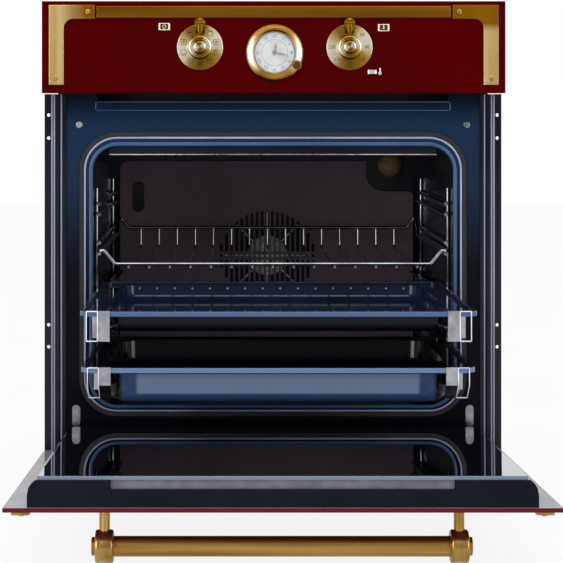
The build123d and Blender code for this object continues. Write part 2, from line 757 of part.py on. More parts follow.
def hour_hand():
    y = PANEL_Y - HOUR_LIFT
    shape = make_face(Polyline((-0.8, 0), (-0.7, 9), (0, 15.8), (0.7, 9), (0.8, 0), close=True))
    outline = Rot(0, 0, -HOUR_DEG) * (shape + Pos(0, 8) * Circle(1.7)) + Circle(2.9)
    hand = plate(Pos(CLOCK_X, CLOCK_Z) * outline, y - HAND_T, y)
    hand += disc(CLOCK_X, CLOCK_Z, HOUR_TUBE_R, y, PANEL_Y + 5)
    return hand - disc(CLOCK_X, CLOCK_Z, MINUTE_PIN_R + RUN, y - 1, PANEL_Y + 5)


def minute_hand():
    y = PANEL_Y - MINUTE_LIFT
    half = [(-0.7, 0), (-0.7, 4), (-1.6, 8), (-0.6, 13)]
    other = [(-x, z) for x, z in reversed(half)]
    shape = make_face(Polyline(*half, (0, 19.5), *other, close=True))
    outline = Rot(0, 0, -MINUTE_DEG) * shape + Circle(2.3)
    hand = plate(Pos(CLOCK_X, CLOCK_Z) * outline, y - HAND_T, y)
    return hand + disc(CLOCK_X, CLOCK_Z, MINUTE_PIN_R, y, PANEL_Y + CASE_LEN / 3)


def clock_setter():
    front = PANEL_Y - BEZEL_H - EDGE_R - 3.1
    button = round_front(disc(SETTER_X, SETTER_Z, SETTER_R, front, front + 5.6), SETTER_R / 3)
    return button + disc(SETTER_X, SETTER_Z, SETTER_PIN_R, front + 5.6, PANEL_Y + 3 * SHEET)


def indicator_lens():
    left, right = LENS_X - LENS_HALF, LENS_X + LENS_HALF
    return box(left, right, PANEL_Y - 1.2, PANEL_Y + 2 * SHEET, LENS_Z - LENS_H, LENS_Z + LENS_H)


# Door


def door_block():
    back, glass = PANEL_Y + DOOR_PANEL_T, DOOR_FACE - GLASS_T
    step = (glass + AXIS_Y) / 2
    half = [(LINE_HALF, back), (LINE_HALF, AXIS_Y + 1), (LINE_HALF - 1.4, step)]
    half += [(LINE_HALF - 4.2, glass - 4), (GLASS_HALF + 2.4, glass)]
    other = [(-x, y) for x, y in reversed(half)]
    outline = make_face(Polyline(*half, *other, close=True))
    return Pos(0, 0, GLASS_LOW) * extrude(outline, amount=BLOCK_TOP - GLASS_LOW)


def door_outer_panel():
    back = PANEL_Y + DOOR_PANEL_T
    panel = round_front(box(-HALF_W, HALF_W, PANEL_Y, back, DOOR_LOW, DOOR_TOP), EDGE_R)
    for x in (-POST_X, POST_X):
        panel -= disc(x, HANDLE_Z, STUD_R, PANEL_Y, back)
    return panel


def door_inner_glass():
    pane = plate(window(GLASS_HALF, GLASS_LOW, GLASS_TOP, GLASS_T), DOOR_FACE - GLASS_T, DOOR_FACE)
    return fillet(pane.edges().group_by(Axis.Y)[-1], BADGE_EDGE)


def door_top_profile():
    bar = door_block() & box(-HALF_W, HALF_W, PANEL_Y, 0, BLOCK_TOP - PROFILE_W, BLOCK_TOP)
    low = BLOCK_TOP - DOOR_SLOT_DEEP
    return bar - box(-DOOR_SLOT_HALF, DOOR_SLOT_HALF, DOOR_SLOT_Y, DOOR_FACE - GLASS_T, low, BLOCK_TOP)


def door_bottom_profile():
    bar = door_block() & box(-HALF_W, HALF_W, PANEL_Y, 0, GLASS_LOW, GLASS_LOW + PROFILE_W)
    for side in (-1, 1):
        x = side * HINGE_X
        bar -= box(x - HINGE_SLOT, x + HINGE_SLOT, PANEL_Y, 0, GLASS_LOW, AXIS_Z + LUG_R + 6)
    return bar


def door_side_profile():
    low, high = GLASS_LOW + PROFILE_W, BLOCK_TOP - PROFILE_W
    return door_block() & box(LINE_HALF - PROFILE_W, HALF_W, PANEL_Y, 0, low, high)


def door_hinge_arms():
    front, back = AXIS_Y - EAR_R, AXIS_Y + EAR_R
    arm = rod_x(AXIS_Y, AXIS_Z, PIN_R, HINGE_X - PIN_HALF, HINGE_X + PIN_HALF)
    for x in (HINGE_X - HINGE_SLOT - EAR_T + 0.2, HINGE_X + HINGE_SLOT - 0.2):
        ear = rod_x(AXIS_Y, AXIS_Z, EAR_R, x, x + EAR_T)
        arm += ear + box(x, x + EAR_T, front, back, AXIS_Z, GLASS_LOW)
    for x in (HINGE_X - PIN_HALF, HINGE_X + HINGE_SLOT - 0.2):
        arm -= box(x, x + PIN_HALF - HINGE_SLOT + 0.2, front, back, GLASS_LOW, GLASS_LOW + EAR_R)
    return both_sides(arm)


def handle_bar():
    y = PANEL_Y - BAR_OUT
    end = POST_X + COLLAR_W / 2
    bar = rod_x(y, HANDLE_Z, BAR_R, -end, end)
    cap = rod_x(y, HANDLE_Z, CAP_R, end, end + CAP_T)
    low, high = HANDLE_Z - CAP_SLOT / 2, HANDLE_Z + CAP_SLOT / 2
    cap -= box(end + 1, end + CAP_T, y - CAP_R, y + CAP_R, low, high)
    return bar + both_sides(cap)


def handle_mount():
    y = PANEL_Y - BAR_OUT
    low, high = POST_X - COLLAR_W / 2, POST_X + COLLAR_W / 2
    collar = rod_x(y, HANDLE_Z, COLLAR_R, low, high)
    collar = fillet(collar.edges().filter_by(GeomType.CIRCLE), COLLAR_ROUND)
    post = disc(POST_X, HANDLE_Z, POST_R, y + COLLAR_R - 3, PANEL_Y)
    stud = disc(POST_X, HANDLE_Z, STUD_R, PANEL_Y, PANEL_Y + DOOR_PANEL_T)
    return collar + post + stud - rod_x(y, HANDLE_Z, BAR_R, low, high)


def door_straps():
    left, front = BADGE_OUT - BADGE_W, PANEL_Y - BADGE_T
    strap = round_front(box(left, BADGE_OUT, front, PANEL_Y, STRAP_LOW, STRAP_TOP), BADGE_EDGE)
    for z in (STRAP_LOW + SCREW_IN, STRAP_TOP - SCREW_IN):
        strap += screw_head(BADGE_OUT - BADGE_W / 2, z, front, SCREW_R)
    return both_sides(strap)


# Trays, rails and wire shelf


def tray(front, length, rim_top, deep, corner_r, bottom_r):
    middle, flat = front + length / 2, rim_top - RIM_H
    inner_r = FLANGE_R - RIM_W + GAP
    inside = RectangleRounded(2 * (FLANGE_HALF - RIM_W), length - 2 * RIM_W, inner_r)
    rim = RectangleRounded(2 * FLANGE_HALF, length, FLANGE_R) - inside
    piece = Pos(0, middle, flat) * extrude(rim, amount=RIM_H)
    piece = fillet(piece.edges().group_by(Axis.Z)[-1], RIM_ROUND)
    piece += Pos(0, middle, flat) * extrude(inside, amount=TRAY_T)
    width, depth = 2 * WALL_HALF, length - 2 * WALL_SET
    drop = deep - RIM_H + TRAY_T
    outer = Pos(0, middle, flat + TRAY_T) * RectangleRounded(width, depth, corner_r)
    bowl = extrude(outer, amount=-drop, taper=WALL_TAPER)
    bowl = fillet(bowl.edges().group_by(Axis.Z)[0], bottom_r)
    inner = RectangleRounded(width - 2 * TRAY_T, depth - 2 * TRAY_T, corner_r - TRAY_T)
    hollow = extrude(Pos(0, middle, flat + TRAY_T) * inner, amount=TRAY_T - drop, taper=WALL_TAPER)
    hollow = fillet(hollow.edges().group_by(Axis.Z)[0], bottom_r - TRAY_T)
    return piece + bowl - hollow


def rails_fixed(z, start):
    length = (start, RAIL_END)
    outside = RAIL_X - RAIL_WEB - GAP - MID_W + RAIL_LIP
    rail = box(RAIL_X - RAIL_WEB, RAIL_X, *length, z - RAIL_HALF_H, z + RAIL_HALF_H)
    rail += box(outside, RAIL_X, *length, z + RAIL_HALF_H - RAIL_LIP, z + RAIL_HALF_H)
    rail += box(outside, RAIL_X, *length, z - RAIL_HALF_H, z - RAIL_HALF_H + RAIL_LIP)
    return both_sides(rail)


def rails_middle(z, start, shift):
    right = RAIL_X - RAIL_WEB - GAP
    half = RAIL_HALF_H - RAIL_LIP - GAP
    return both_sides(box(right - MID_W, right, start - shift, RAIL_END - shift, z - half, z + half))


def rails_inner(z, rim_top, start, end, foot):
    right = RAIL_X - RAIL_WEB - 2 * GAP - MID_W
    left, top = right - INNER_W, rim_top - RIM_H
    rail = box(left, right, start, end, z - RAIL_HALF_H, z + RAIL_HALF_H)
    rail += box(left, right, start, start + SADDLE_LEN, z, top)
    rail += box(left, right, end - SADDLE_LEN, end, z, top)
    front = make_face(Plane.YZ * Polyline(*foot, close=True))
    rail += Pos(left, 0, 0) * extrude(front, amount=FOOT_W)
    return both_sides(rail)


def upper_foot():
    front, top, low = -UPPER_OUT, UPPER_RIM + FOOT_TOP, UPPER_RAIL_Z - UPPER_FOOT_LOW
    return [(front - FOOT_T, top), (front, top), (front, low), (front - FOOT_T, low)]


def lower_foot():
    front, top = -LOWER_OUT, LOWER_RIM + FOOT_TOP
    knee, low = LOWER_RIM - LOWER_KNEE, LOWER_RIM - LOWER_FOOT_LOW
    run, back, level = front + LOWER_FOOT_RUN, front + LOWER_RAIL_SET, LOWER_RAIL_Z + RAIL_HALF_H
    outline = [(front - FOOT_T, top), (front, top), (front, level), (back, level), (back, knee - SHAFT_R)]
    return outline + [(run, low + FOOT_T), (run, low), (run - SHEET, low), (front - FOOT_T, knee)]


def wire_shelf():
    side, dip, z = SHELF_SIDE_X, SHELF_DIP_X, SHELF_SIDE_Z
    bend = SHELF_BACK - FENCE_RUN
    half = [(side, bend - FENCE_RUN, z), (side, SHELF_FRONT, z), (SHELF_NECK_X, SHELF_FRONT, z)]
    half += [(dip, SHELF_FRONT, SHELF_Z)]
    other = [(-x, y, level) for x, y, level in reversed(half)]
    shelf = wire(half + other, SHELF_BEND, SHELF_R)
    half = [(side, bend - FENCE_RUN, z), (side, bend - FENCE_RUN / 2, z), (FENCE_X, bend, z)]
    half += [(FENCE_X, SHELF_BACK, z + FENCE_RISE), (dip, SHELF_BACK, z + FENCE_RISE - FENCE_DIP)]
    other = [(-x, y, level) for x, y, level in reversed(half)]
    shelf += wire(half + other, SHELF_BEND, SHELF_R)
    return shelf + [cross_wire(number) for number in range(SHELF_WIRES)]


def cross_wire(number):
    x = (number / (SHELF_WIRES - 1) - 0.5) * 2 * CROSS_HALF
    low = SHELF_Z - SHELF_R - CROSS_R + GAP
    back = SHELF_BACK - SHELF_R
    points = [(x, SHELF_FRONT - SHELF_R + GAP, low), (x, back, low)]
    points.append((x, SHELF_BACK, SHELF_SIDE_Z + FENCE_RISE - FENCE_DIP))
    return wire(points, CROSS_BEND, CROSS_R)


os.makedirs("parts", exist_ok=True)

save("cabinet_shell", cabinet_shell())
save("rear_cover", rear_cover())
save("terminal_cover", terminal_cover())
save("front_frame", front_frame())
save("door_gasket", door_gasket())
save("cavity_liner", cavity_liner())
save("grill_shield", grill_shield())
save("back_liner", back_liner())
save("fan_motor", fan_motor())
save("convection_fan", convection_fan())
save("ring_element", ring_element())
save("grill_element", grill_element())
save("lamp_holder", lamp_holder())
save("lamp_glass", lamp_glass())
save("side_rack_right", side_rack())
save("side_rack_left", mirror(side_rack(), about=Plane.YZ))
save("side_trim_right", side_trim())
save("side_trim_left", mirror(side_trim(), about=Plane.YZ))
save("hinge_brackets", hinge_brackets())
save("air_outlet", air_outlet())

save("control_panel", control_panel())
save("trim_bar", trim_bar())
save("corner_bracket_right", corner_bracket())
save("corner_bracket_left", mirror(corner_bracket(), about=Plane.YZ))
save("panel_screws", panel_screws())
save("frame_screws", frame_screws())
save("function_dial", dial(FUNCTION_X))
save("temperature_dial", dial(TEMP_X))
save("function_knob", knob(FUNCTION_X))
save("temperature_knob", knob(TEMP_X))
save("function_switch", selector(FUNCTION_X, SWITCH_R))
save("thermostat", selector(TEMP_X, THERMOSTAT_R))
save("clock_case", clock_case())
save("clock_face", clock_face())
save("clock_bezel", clock_bezel())
save("clock_glass", clock_glass())
save("hour_hand", hour_hand())
save("minute_hand", minute_hand())
save("clock_setter", clock_setter())
save("indicator_lens", indicator_lens())

save("door_outer_panel", open_door(door_outer_panel()))
save("door_inner_glass", open_door(door_inner_glass()))
save("door_top_profile", open_door(door_top_profile()))
save("door_bottom_profile", open_door(door_bottom_profile()))
save("door_side_profile_right", open_door(door_side_profile()))
save("door_side_profile_left", open_door(mirror(door_side_profile(), about=Plane.YZ)))
save("door_hinge_arms", open_door(door_hinge_arms()))
save("handle_bar", open_door(handle_bar()))
save("handle_mount_right", open_door(handle_mount()))
save("handle_mount_left", open_door(mirror(handle_mount(), about=Plane.YZ)))
save("door_straps", open_door(door_straps()))

upper_travel = UPPER_OUT + UPPER_IN
lower_travel = LOWER_OUT + LOWER_IN
upper_start = UPPER_IN + SHEET
lower_start = LOWER_IN + LOWER_RAIL_SET + 2 * SHEET
save("upper_tray", tray(-UPPER_OUT, UPPER_LEN, UPPER_RIM, UPPER_DEEP, UPPER_CORNER_R, UPPER_BOTTOM_R))
save("lower_tray", tray(-LOWER_OUT, LOWER_LEN, LOWER_RIM, LOWER_DEEP, LOWER_CORNER_R, LOWER_BOTTOM_R))
save("upper_rails_fixed", rails_fixed(UPPER_RAIL_Z, upper_start))
save("lower_rails_fixed", rails_fixed(LOWER_RAIL_Z, lower_start))
save("upper_rails_middle", rails_middle(UPPER_RAIL_Z, upper_start, upper_travel / 2))
save("lower_rails_middle", rails_middle(LOWER_RAIL_Z, lower_start, lower_travel / 2))
upper_end = RAIL_END - upper_travel
lower_end = RAIL_END - lower_travel
upper_front = -UPPER_OUT - FOOT_T / 2
save("upper_rails_inner", rails_inner(UPPER_RAIL_Z, UPPER_RIM, upper_front, upper_end, upper_foot()))
lower_front = LOWER_RAIL_SET - LOWER_OUT - FOOT_T / 2
save("lower_rails_inner", rails_inner(LOWER_RAIL_Z, LOWER_RIM, lower_front, lower_end, lower_foot()))
save("wire_shelf", wire_shelf())
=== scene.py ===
import math

import bmesh
import bpy
from mathutils import Matrix, Vector


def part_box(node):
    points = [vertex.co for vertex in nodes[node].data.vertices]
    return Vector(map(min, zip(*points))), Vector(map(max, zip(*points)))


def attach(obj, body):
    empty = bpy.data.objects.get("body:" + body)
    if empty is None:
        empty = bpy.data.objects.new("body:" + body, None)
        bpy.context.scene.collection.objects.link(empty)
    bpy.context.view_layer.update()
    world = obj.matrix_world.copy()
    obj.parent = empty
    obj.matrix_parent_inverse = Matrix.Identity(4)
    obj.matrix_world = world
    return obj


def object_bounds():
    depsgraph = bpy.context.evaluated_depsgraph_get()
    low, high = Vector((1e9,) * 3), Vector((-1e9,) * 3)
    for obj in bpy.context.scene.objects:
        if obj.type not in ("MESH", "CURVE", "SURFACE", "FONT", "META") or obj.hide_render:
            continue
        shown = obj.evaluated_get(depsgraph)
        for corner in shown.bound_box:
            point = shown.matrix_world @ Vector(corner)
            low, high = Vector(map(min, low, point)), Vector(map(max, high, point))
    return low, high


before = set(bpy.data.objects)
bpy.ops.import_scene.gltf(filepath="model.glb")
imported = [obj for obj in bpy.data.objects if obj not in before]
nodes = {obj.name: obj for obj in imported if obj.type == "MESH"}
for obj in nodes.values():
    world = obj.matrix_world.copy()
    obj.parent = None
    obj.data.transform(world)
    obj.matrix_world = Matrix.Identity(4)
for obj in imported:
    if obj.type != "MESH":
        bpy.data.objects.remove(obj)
cad_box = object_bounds()

# Places are in metres in the oven's own frame. FRONT is the face of the front frame.
MM = 0.001
FRONT = -0.265
DOOR_AXIS = Vector((0, FRONT - 25 * MM, 25 * MM))
DOOR_OPEN = math.radians(87.5)


# Small helpers for materials


def linear(code, alpha=1.0):
    """An sRGB hex colour as the linear values that the shader takes."""
    values = [int(code[i : i + 2], 16) / 255 for i in (1, 3, 5)]
    return [v / 12.92 if v <= 0.04045 else ((v + 0.055) / 1.055) ** 2.4 for v in values] + [alpha]


def add(tree, kind, settings=None, **links):
    """A node of that kind, its settings, and its inputs, each a value or another node's output."""
    node = tree.nodes.new(kind)
    for name, value in (settings or {}).items():
        setattr(node, name, value)
    for name, value in links.items():
        numbered = name[0] == "i" and name[1:].isdigit()
        socket = node.inputs[int(name[1:])] if numbered else node.inputs[name.replace("_", " ")]
        if isinstance(value, bpy.types.NodeSocket):
            tree.links.new(value, socket)
        else:
            socket.default_value = value
    return node


def calculate(tree, operation, first, second=0.0, third=0.0):
    settings = {"operation": operation}
    return add(tree, "ShaderNodeMath", settings, i0=first, i1=second, i2=third).outputs[0]


def times(tree, first, second):
    return calculate(tree, "MULTIPLY", first, second)


def ramp(tree, value, *stops):
    """Colours set at places from 0 to 1 along a value."""
    node = add(tree, "ShaderNodeValToRGB", Fac=value)
    points = node.color_ramp.elements
    while len(points) < len(stops):
        points.new(1.0)
    for point, (place, colour) in zip(points, stops):
        point.position = place
        point.color = linear(colour)
    return node.outputs[0]


def spread(tree, value, low, high, start=0.0, end=1.0):
    """A value between low and high, spread between start and end."""
    links = {"Value": value, "From_Min": low, "From_Max": high, "To_Min": start, "To_Max": end}
    return add(tree, "ShaderNodeMapRange", **links).outputs[0]


def mix(tree, share, first, second):
    """Two colours mixed by a share from 0 to 1."""
    node = add(tree, "ShaderNodeMix", {"data_type": "RGBA"}, i0=share, i6=first, i7=second)
    return node.outputs[2]


def new_material(name):
    material = bpy.data.materials.new(name)
    material.use_nodes = True
    tree = material.node_tree
    tree.nodes.clear()
    out = tree.nodes.new("ShaderNodeOutputMaterial")
    shader = tree.nodes.new("ShaderNodeBsdfPrincipled")
    tree.links.new(shader.outputs[0], out.inputs[0])
    place = tree.nodes.new("ShaderNodeTexCoord").outputs["Object"]
    return material, tree, shader, place


def cloud(tree, place, scale, stretch=(1, 1, 1), detail=2.0):
    """Soft noise, stretched along an axis where a tool or a pour left streaks."""
    turned = add(tree, "ShaderNodeMapping", Vector=place, Scale=stretch)
    return add(tree, "ShaderNodeTexNoise", Vector=turned.outputs[0], Scale=scale, Detail=detail).outputs[0]


def relief(tree, shader, height, strength, distance):
    bump = add(tree, "ShaderNodeBump", Height=height, Strength=strength, Distance=distance)
    tree.links.new(bump.outputs[0], shader.inputs["Normal"])


def mottle(tree, shader, noise, dark, light, rough):
    """Two near tones of one colour and a little change of gloss, both from the same noise."""
    colour = ramp(tree, noise, (0.35, dark), (0.65, light))
    finish(tree, shader, colour, spread(tree, noise, 0.3, 0.7, *rough))


def finish(tree, shader, colour, roughness):
    tree.links.new(colour, shader.inputs["Base Color"])
    tree.links.new(roughness, shader.inputs["Roughness"])


# Enamels: glass powder fused on pressed steel. Deep even colour under a hard gloss,
# with an orange-peel ripple about 6 mm long that only shows in the reflections.


def enamel(name, dark, light, rough=(0.06, 0.12), gloss=0.25, ripple=0.05):
    material, tree, shader, place = new_material(name)
    tone = cloud(tree, place, 9.0)
    peel = cloud(tree, place, 160.0, detail=1.0)
    mottle(tree, shader, tone, dark, light, rough)
    shader.inputs["IOR"].default_value = 1.52
    shader.inputs["Specular IOR Level"].default_value = gloss
    relief(tree, shader, peel, ripple, 0.0004)
    return material, tree, shader, place


def recolour(tree, shader, colour):
    """Puts another colour on a finish that is already made."""
    for link in list(shader.inputs["Base Color"].links):
        tree.links.remove(link)
    tree.links.new(colour, shader.inputs["Base Color"])


def base_of(shader):
    return shader.inputs["Base Color"].links[0].from_socket


def facing(tree, axis):
    """How far the surface faces along an axis of the object, from -1 to 1."""
    normal = tree.nodes.new("ShaderNodeTexCoord").outputs["Normal"]
    return add(tree, "ShaderNodeSeparateXYZ", Vector=normal).outputs[axis]


def along(tree, place, axis):
    return add(tree, "ShaderNodeSeparateXYZ", Vector=place).outputs[axis]


def frame_enamel():
    """Navy enamel of the front frame: fused glass on pressed steel, deep blue under a gloss. The ramp
    from floor to top isn't in the enamel: it paints in the shade that the photograph shows."""
    material, tree, shader, place = enamel("Navy_Frame_Enamel", "#141f30", "#182536", (0.08, 0.12), 0.08)
    level = along(tree, place, 2)
    stops = ((0.0, "#0b0d13"), (0.25, "#07080d"), (0.5, "#090b12"), (0.75, "#1c2a3e"), (0.93, "#182b42"))
    stops += ((1, "#0b1320"),)
    depth = ramp(tree, spread(tree, level, 0.03, 0.47), *stops)
    recolour(tree, shader, depth)
    return material


def tray_enamel(name, inside, rim_low, rim_colour, band=None):
    """Navy enamel of a pressed tray, glossy, with a rolled rim. The pale rim, the dark front wall and
    the pale flat are painted in: they stand for reflections that the photograph shows."""
    material, tree, shader, place = enamel(name, *inside, (0.05, 0.1), 0.25)
    level = along(tree, place, 2)
    before = calculate(tree, "LESS_THAN", along(tree, place, 1), -0.5)
    wall = times(tree, spread(tree, facing(tree, 1), -0.05, -0.3), before)
    rim = times(tree, wall, calculate(tree, "GREATER_THAN", level, rim_low))
    colour = mix(tree, wall, base_of(shader), linear("#05060d"))
    if band:
        side, low, high, soft, paint, border = band
        across = calculate(tree, "ABSOLUTE", along(tree, place, 0))
        outer = spread(tree, across, side + 2 * soft, side + 1.5 * soft)
        below = spread(tree, level, low - 0.013, low - 0.011)
        upper = calculate(tree, "LESS_THAN", level, high)
        blue = times(tree, times(tree, outer, below), wall)
        blue = times(tree, blue, upper)
        flat = times(tree, spread(tree, across, side + soft * 0.3, side), blue)
        flat = times(tree, spread(tree, level, low, low + 0.0015), flat)
        colour = mix(tree, flat, mix(tree, blue, colour, linear(border)), linear(paint))
    recolour(tree, shader, mix(tree, rim, colour, linear(rim_colour)))
    return material


def door_skin():
    """Enamelled door skin: maroon outside, a grey painted reflection on the inner side, and a crimson painted
    highlight on the edges.
    Each side is chosen by the way that the surface faces."""
    material, tree, shader, place = enamel("Maroon_Door_Enamel", "#480004", "#540006", (0.12, 0.2), 0.1)
    up = facing(tree, 2)
    # The grey for faces turned up is a painted reflection.
    tone = ramp(tree, cloud(tree, place, 14.0), (0.3, "#807e89"), (0.7, "#95939d"))
    # The crimson for faces turned sideways is a painted highlight.
    edge = mix(tree, spread(tree, up, -0.6, -0.5), base_of(shader), linear("#5c101d"))
    recolour(tree, shader, mix(tree, spread(tree, up, 0.5, 0.6), edge, tone))
    return material


def door_pane():
    """Inner door glass: black-backed float glass, a mirror at a low angle, with a ground edge."""
    made = enamel("Black_Backed_Door_Glass", "#030407", "#04060b", (0.0, 0.012), 0.4, 0.0)
    material, tree, shader, place = made
    edge = spread(tree, facing(tree, 1), -0.5, -0.8)
    recolour(tree, shader, mix(tree, edge, base_of(shader), linear("#5f6e84")))
    shader.inputs["Coat Weight"].default_value = 1.0
    shader.inputs["Coat Roughness"].default_value = 0.01
    return material


def back_wall_enamel():
    """Catalytic enamel: matt, porous and brown-grey, with a fine speckle of oxide grains."""
    material, tree, shader, place = enamel("Catalytic_Enamel", "#675860", "#7b6a72", (0.5, 0.62), 0.2, 0.2)
    grains = cloud(tree, place, 700.0, detail=3.0)
    speckle = ramp(tree, grains, (0.35, "#55484f"), (0.7, "#86757d"))
    recolour(tree, shader, mix(tree, 0.45, base_of(shader), speckle))
    return material


# Metals keep the default IOR. Brushed and turned ones carry the tool's own lines.


def metal(name, dark, light, rough, scale=40.0, stretch=(1, 1, 1), grain=0.0):
    material, tree, shader, place = new_material(name)
    noise = cloud(tree, place, scale, stretch, 3.0)
    mottle(tree, shader, noise, dark, light, rough)
    shader.inputs["Metallic"].default_value = 1.0
    if grain:
        relief(tree, shader, noise, grain, 0.0002)
    return material, tree, shader, place


def turned_metal(name, centre, stops, rough, grooves=()):
    """Metal turned on a lathe about an axis along Y, with fine rings. The fans of light that such
    rings gather are painted in by the stops, which run clockwise from the bottom, so they stay
    where they are under other light and turn with a knob. A groove is a radius and a width."""
    material, tree, shader, place = new_material(name)
    x = calculate(tree, "SUBTRACT", along(tree, place, 0), centre[0])
    z = calculate(tree, "SUBTRACT", along(tree, place, 2), centre[1])
    radius = calculate(tree, "SQRT", calculate(tree, "ADD", times(tree, x, x), times(tree, z, z)))
    settings = {"noise_dimensions": "1D"}
    rings = add(tree, "ShaderNodeTexNoise", settings, W=radius, Scale=2600.0, Detail=2.0).outputs[0]
    angle = calculate(tree, "ARCTAN2", x, z)
    wander = spread(tree, rings, 0.2, 0.8, -0.12, 0.12)
    turn = spread(tree, calculate(tree, "ADD", angle, wander), -math.pi, math.pi)
    colour = ramp(tree, turn, *stops)
    upright = calculate(tree, "ABSOLUTE", calculate(tree, "COSINE", angle))
    # Each groove is darkened above and below the middle: painted shade.
    for groove, width in grooves:
        gap = calculate(tree, "ABSOLUTE", calculate(tree, "SUBTRACT", radius, groove))
        near = spread(tree, gap, width, width * 0.4)
        shade = times(tree, near, spread(tree, upright, 0.45, 0.75))
        colour = mix(tree, shade, colour, linear("#2a1402"))
    finish(tree, shader, colour, spread(tree, rings, 0.2, 0.8, *rough))
    shader.inputs["Metallic"].default_value = 1.0
    relief(tree, shader, rings, 0.12, 0.0001)
    return material


def bracket_brass(name, side):
    """Brass corner plate, brushed along its leg. The dark upper arm isn't in the brass: it paints in
    what the arm mirrors in the photograph."""
    material, tree, shader, place = metal(name, "#cfae6c", "#dcc088", (0.34, 0.42), 60.0, (1, 1, 0.06), 0.05)
    across = calculate(tree, "ABSOLUTE", along(tree, place, 0))
    level = along(tree, place, 2)
    if side > 0:
        dark = spread(tree, level, 0.556, 0.566)
    else:
        dark = times(tree, spread(tree, across, 0.274, 0.243), spread(tree, level, 0.55, 0.575))
    recolour(tree, shader, mix(tree, dark, base_of(shader), linear("#8e5f0c")))
    return material


def handle_brass():
    """Handle tube in drawn brass, brushed lengthwise, with a warm soft gloss."""
    lengthwise = (0.03, 1, 1)
    return metal("Drawn_Handle_Brass", "#b08038", "#d6a65c", (0.3, 0.4), 120.0, lengthwise, 0.06)[0]


def plastic(name, dark, light, rough, ior=1.5, grain=0.15):
    """A moulded plastic or rubber: even colour with a fine spark-eroded grain."""
    material, tree, shader, place = new_material(name)
    tone = cloud(tree, place, 60.0)
    mottle(tree, shader, tone, dark, light, rough)
    shader.inputs["IOR"].default_value = ior
    relief(tree, shader, cloud(tree, place, 900.0), grain, 0.0002)
    return material


def clear_glass(name, tint, pale, alpha):
    """Thin clear glass, seen by its reflections more than by its colour."""
    material, tree, shader, place = new_material(name)
    tone = cloud(tree, place, 12.0)
    finish(tree, shader, ramp(tree, tone, (0.3, tint), (0.7, pale)), spread(tree, tone, 0.3, 0.7, 0.02, 0.04))
    shader.inputs["IOR"].default_value = 1.5
    shader.inputs["Alpha"].default_value = alpha
    return material


def spangled_zinc():
    """Hot-dip galvanised sheet: zinc crystals about 12 mm across, each a slightly other grey."""
    material, tree, shader, place = new_material("Galvanised_Sheet")
    crystal = add(tree, "ShaderNodeTexVoronoi", Vector=place, Scale=85.0)
    tone = add(tree, "ShaderNodeSeparateColor", Color=crystal.outputs["Color"]).outputs[0]
    colour = ramp(tree, tone, (0.0, "#8b9094"), (1.0, "#b4b8bb"))
    finish(tree, shader, colour, spread(tree, tone, 0, 1, 0.36, 0.52))
    shader.inputs["Metallic"].default_value = 0.9
    relief(tree, shader, tone, 0.08, 0.0002)
    return material


def striped_trim():
    """Side trim: folded sheet in navy enamel. Its two pale lines are painted in for lit ridges."""
    material, tree, shader, place = enamel("Ridged_Trim_Enamel", "#0d1019", "#141824", (0.1, 0.16), 0.3)
    across = calculate(tree, "ABSOLUTE", along(tree, place, 0))
    ahead = spread(tree, facing(tree, 1), -0.7, -0.9)
    wide = calculate(tree, "COMPARE", across, 0.2862, 0.0026)
    thin = calculate(tree, "COMPARE", across, 0.2755, 0.0011)
    ridge = times(tree, calculate(tree, "MAXIMUM", wide, thin), ahead)
    recolour(tree, shader, mix(tree, ridge, base_of(shader), linear("#8e90a2")))
    return material


# Tones round the dials and the bezel, matched to the light on the brass in the photograph.
DIAL_STOPS = (
    (0.0, "#8a6212"),
    (0.08, "#a8823a"),
    (0.14, "#f2e4bb"),
    (0.25, "#fff9e8"),
    (0.32, "#e2c98c"),
    (0.4, "#98701c"),
    (0.54, "#9a6e14"),
    (0.6, "#efdfa8"),
    (0.67, "#fff6e2"),
    (0.77, "#f4e2ba"),
    (0.83, "#c8983a"),
    (0.92, "#a8761a"),
    (1.0, "#8a6212"),
)
BEZEL_STOPS = (
    (0.0, "#a87a26"),
    (0.1, "#9a6f16"),
    (0.17, "#e8cd92"),
    (0.24, "#fffdf2"),
    (0.31, "#fdeec6"),
    (0.37, "#cf9c50"),
    (0.5, "#b07d24"),
    (0.62, "#c08c3a"),
    (0.69, "#f3dda6"),
    (0.77, "#fdf6dd"),
    (0.83, "#ecd092"),
    (0.9, "#b07c24"),
    (1.0, "#a87a26"),
)


def round_face(node):
    """The middle of a round node seen from the front, as x and z, with its radius and its front."""
    low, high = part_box(node)
    radius = (high[0] - low[0]) / 2
    return (low[0] + radius, low[2] + radius), radius, low[1]


function_centre, _, dial_front = round_face("function_dial")
temperature_centre = round_face("temperature_dial")[0]
clock_centre, face_radius, face_front = round_face("clock_face")
knob_grooves = ((8.6 * MM, 0.9 * MM), (14.6 * MM, 0.6 * MM))

# Panel: maroon enamel. Its gloss is turned well down so that the pale studio leaves it deep.
maroon = enamel("Maroon_Vitreous_Enamel", "#3e0000", "#470001", (0.16, 0.24), 0.03)[0]
# Door profiles: near-black navy enamel with a gloss. Cavity: navy enamel with less of it.
navy = enamel("Navy_Door_Enamel", "#090c14", "#0d111b", (0.05, 0.1), 0.12)[0]
cavity = enamel("Cavity_Enamel", "#0a101c", "#111a2a", (0.16, 0.26), 0.25)[0]
# Thin rolls along the frame's lip and bead, their pale and blue colours painted highlights on those edges.
pale_highlight_roll = enamel("Pale_Painted_Highlight_Edge", "#767a9c", "#9a9dba", (0.2, 0.3), 0.5)[0]
blue_highlight_roll = enamel("Blue_Painted_Highlight_Edge", "#263f62", "#35557e", (0.12, 0.2), 0.5)[0]
# Bare cut sheet at the shield's hem.
hem = metal("Bare_Sheet_Hem", "#a89c9c", "#d2c8c6", (0.25, 0.35), 80.0)[0]
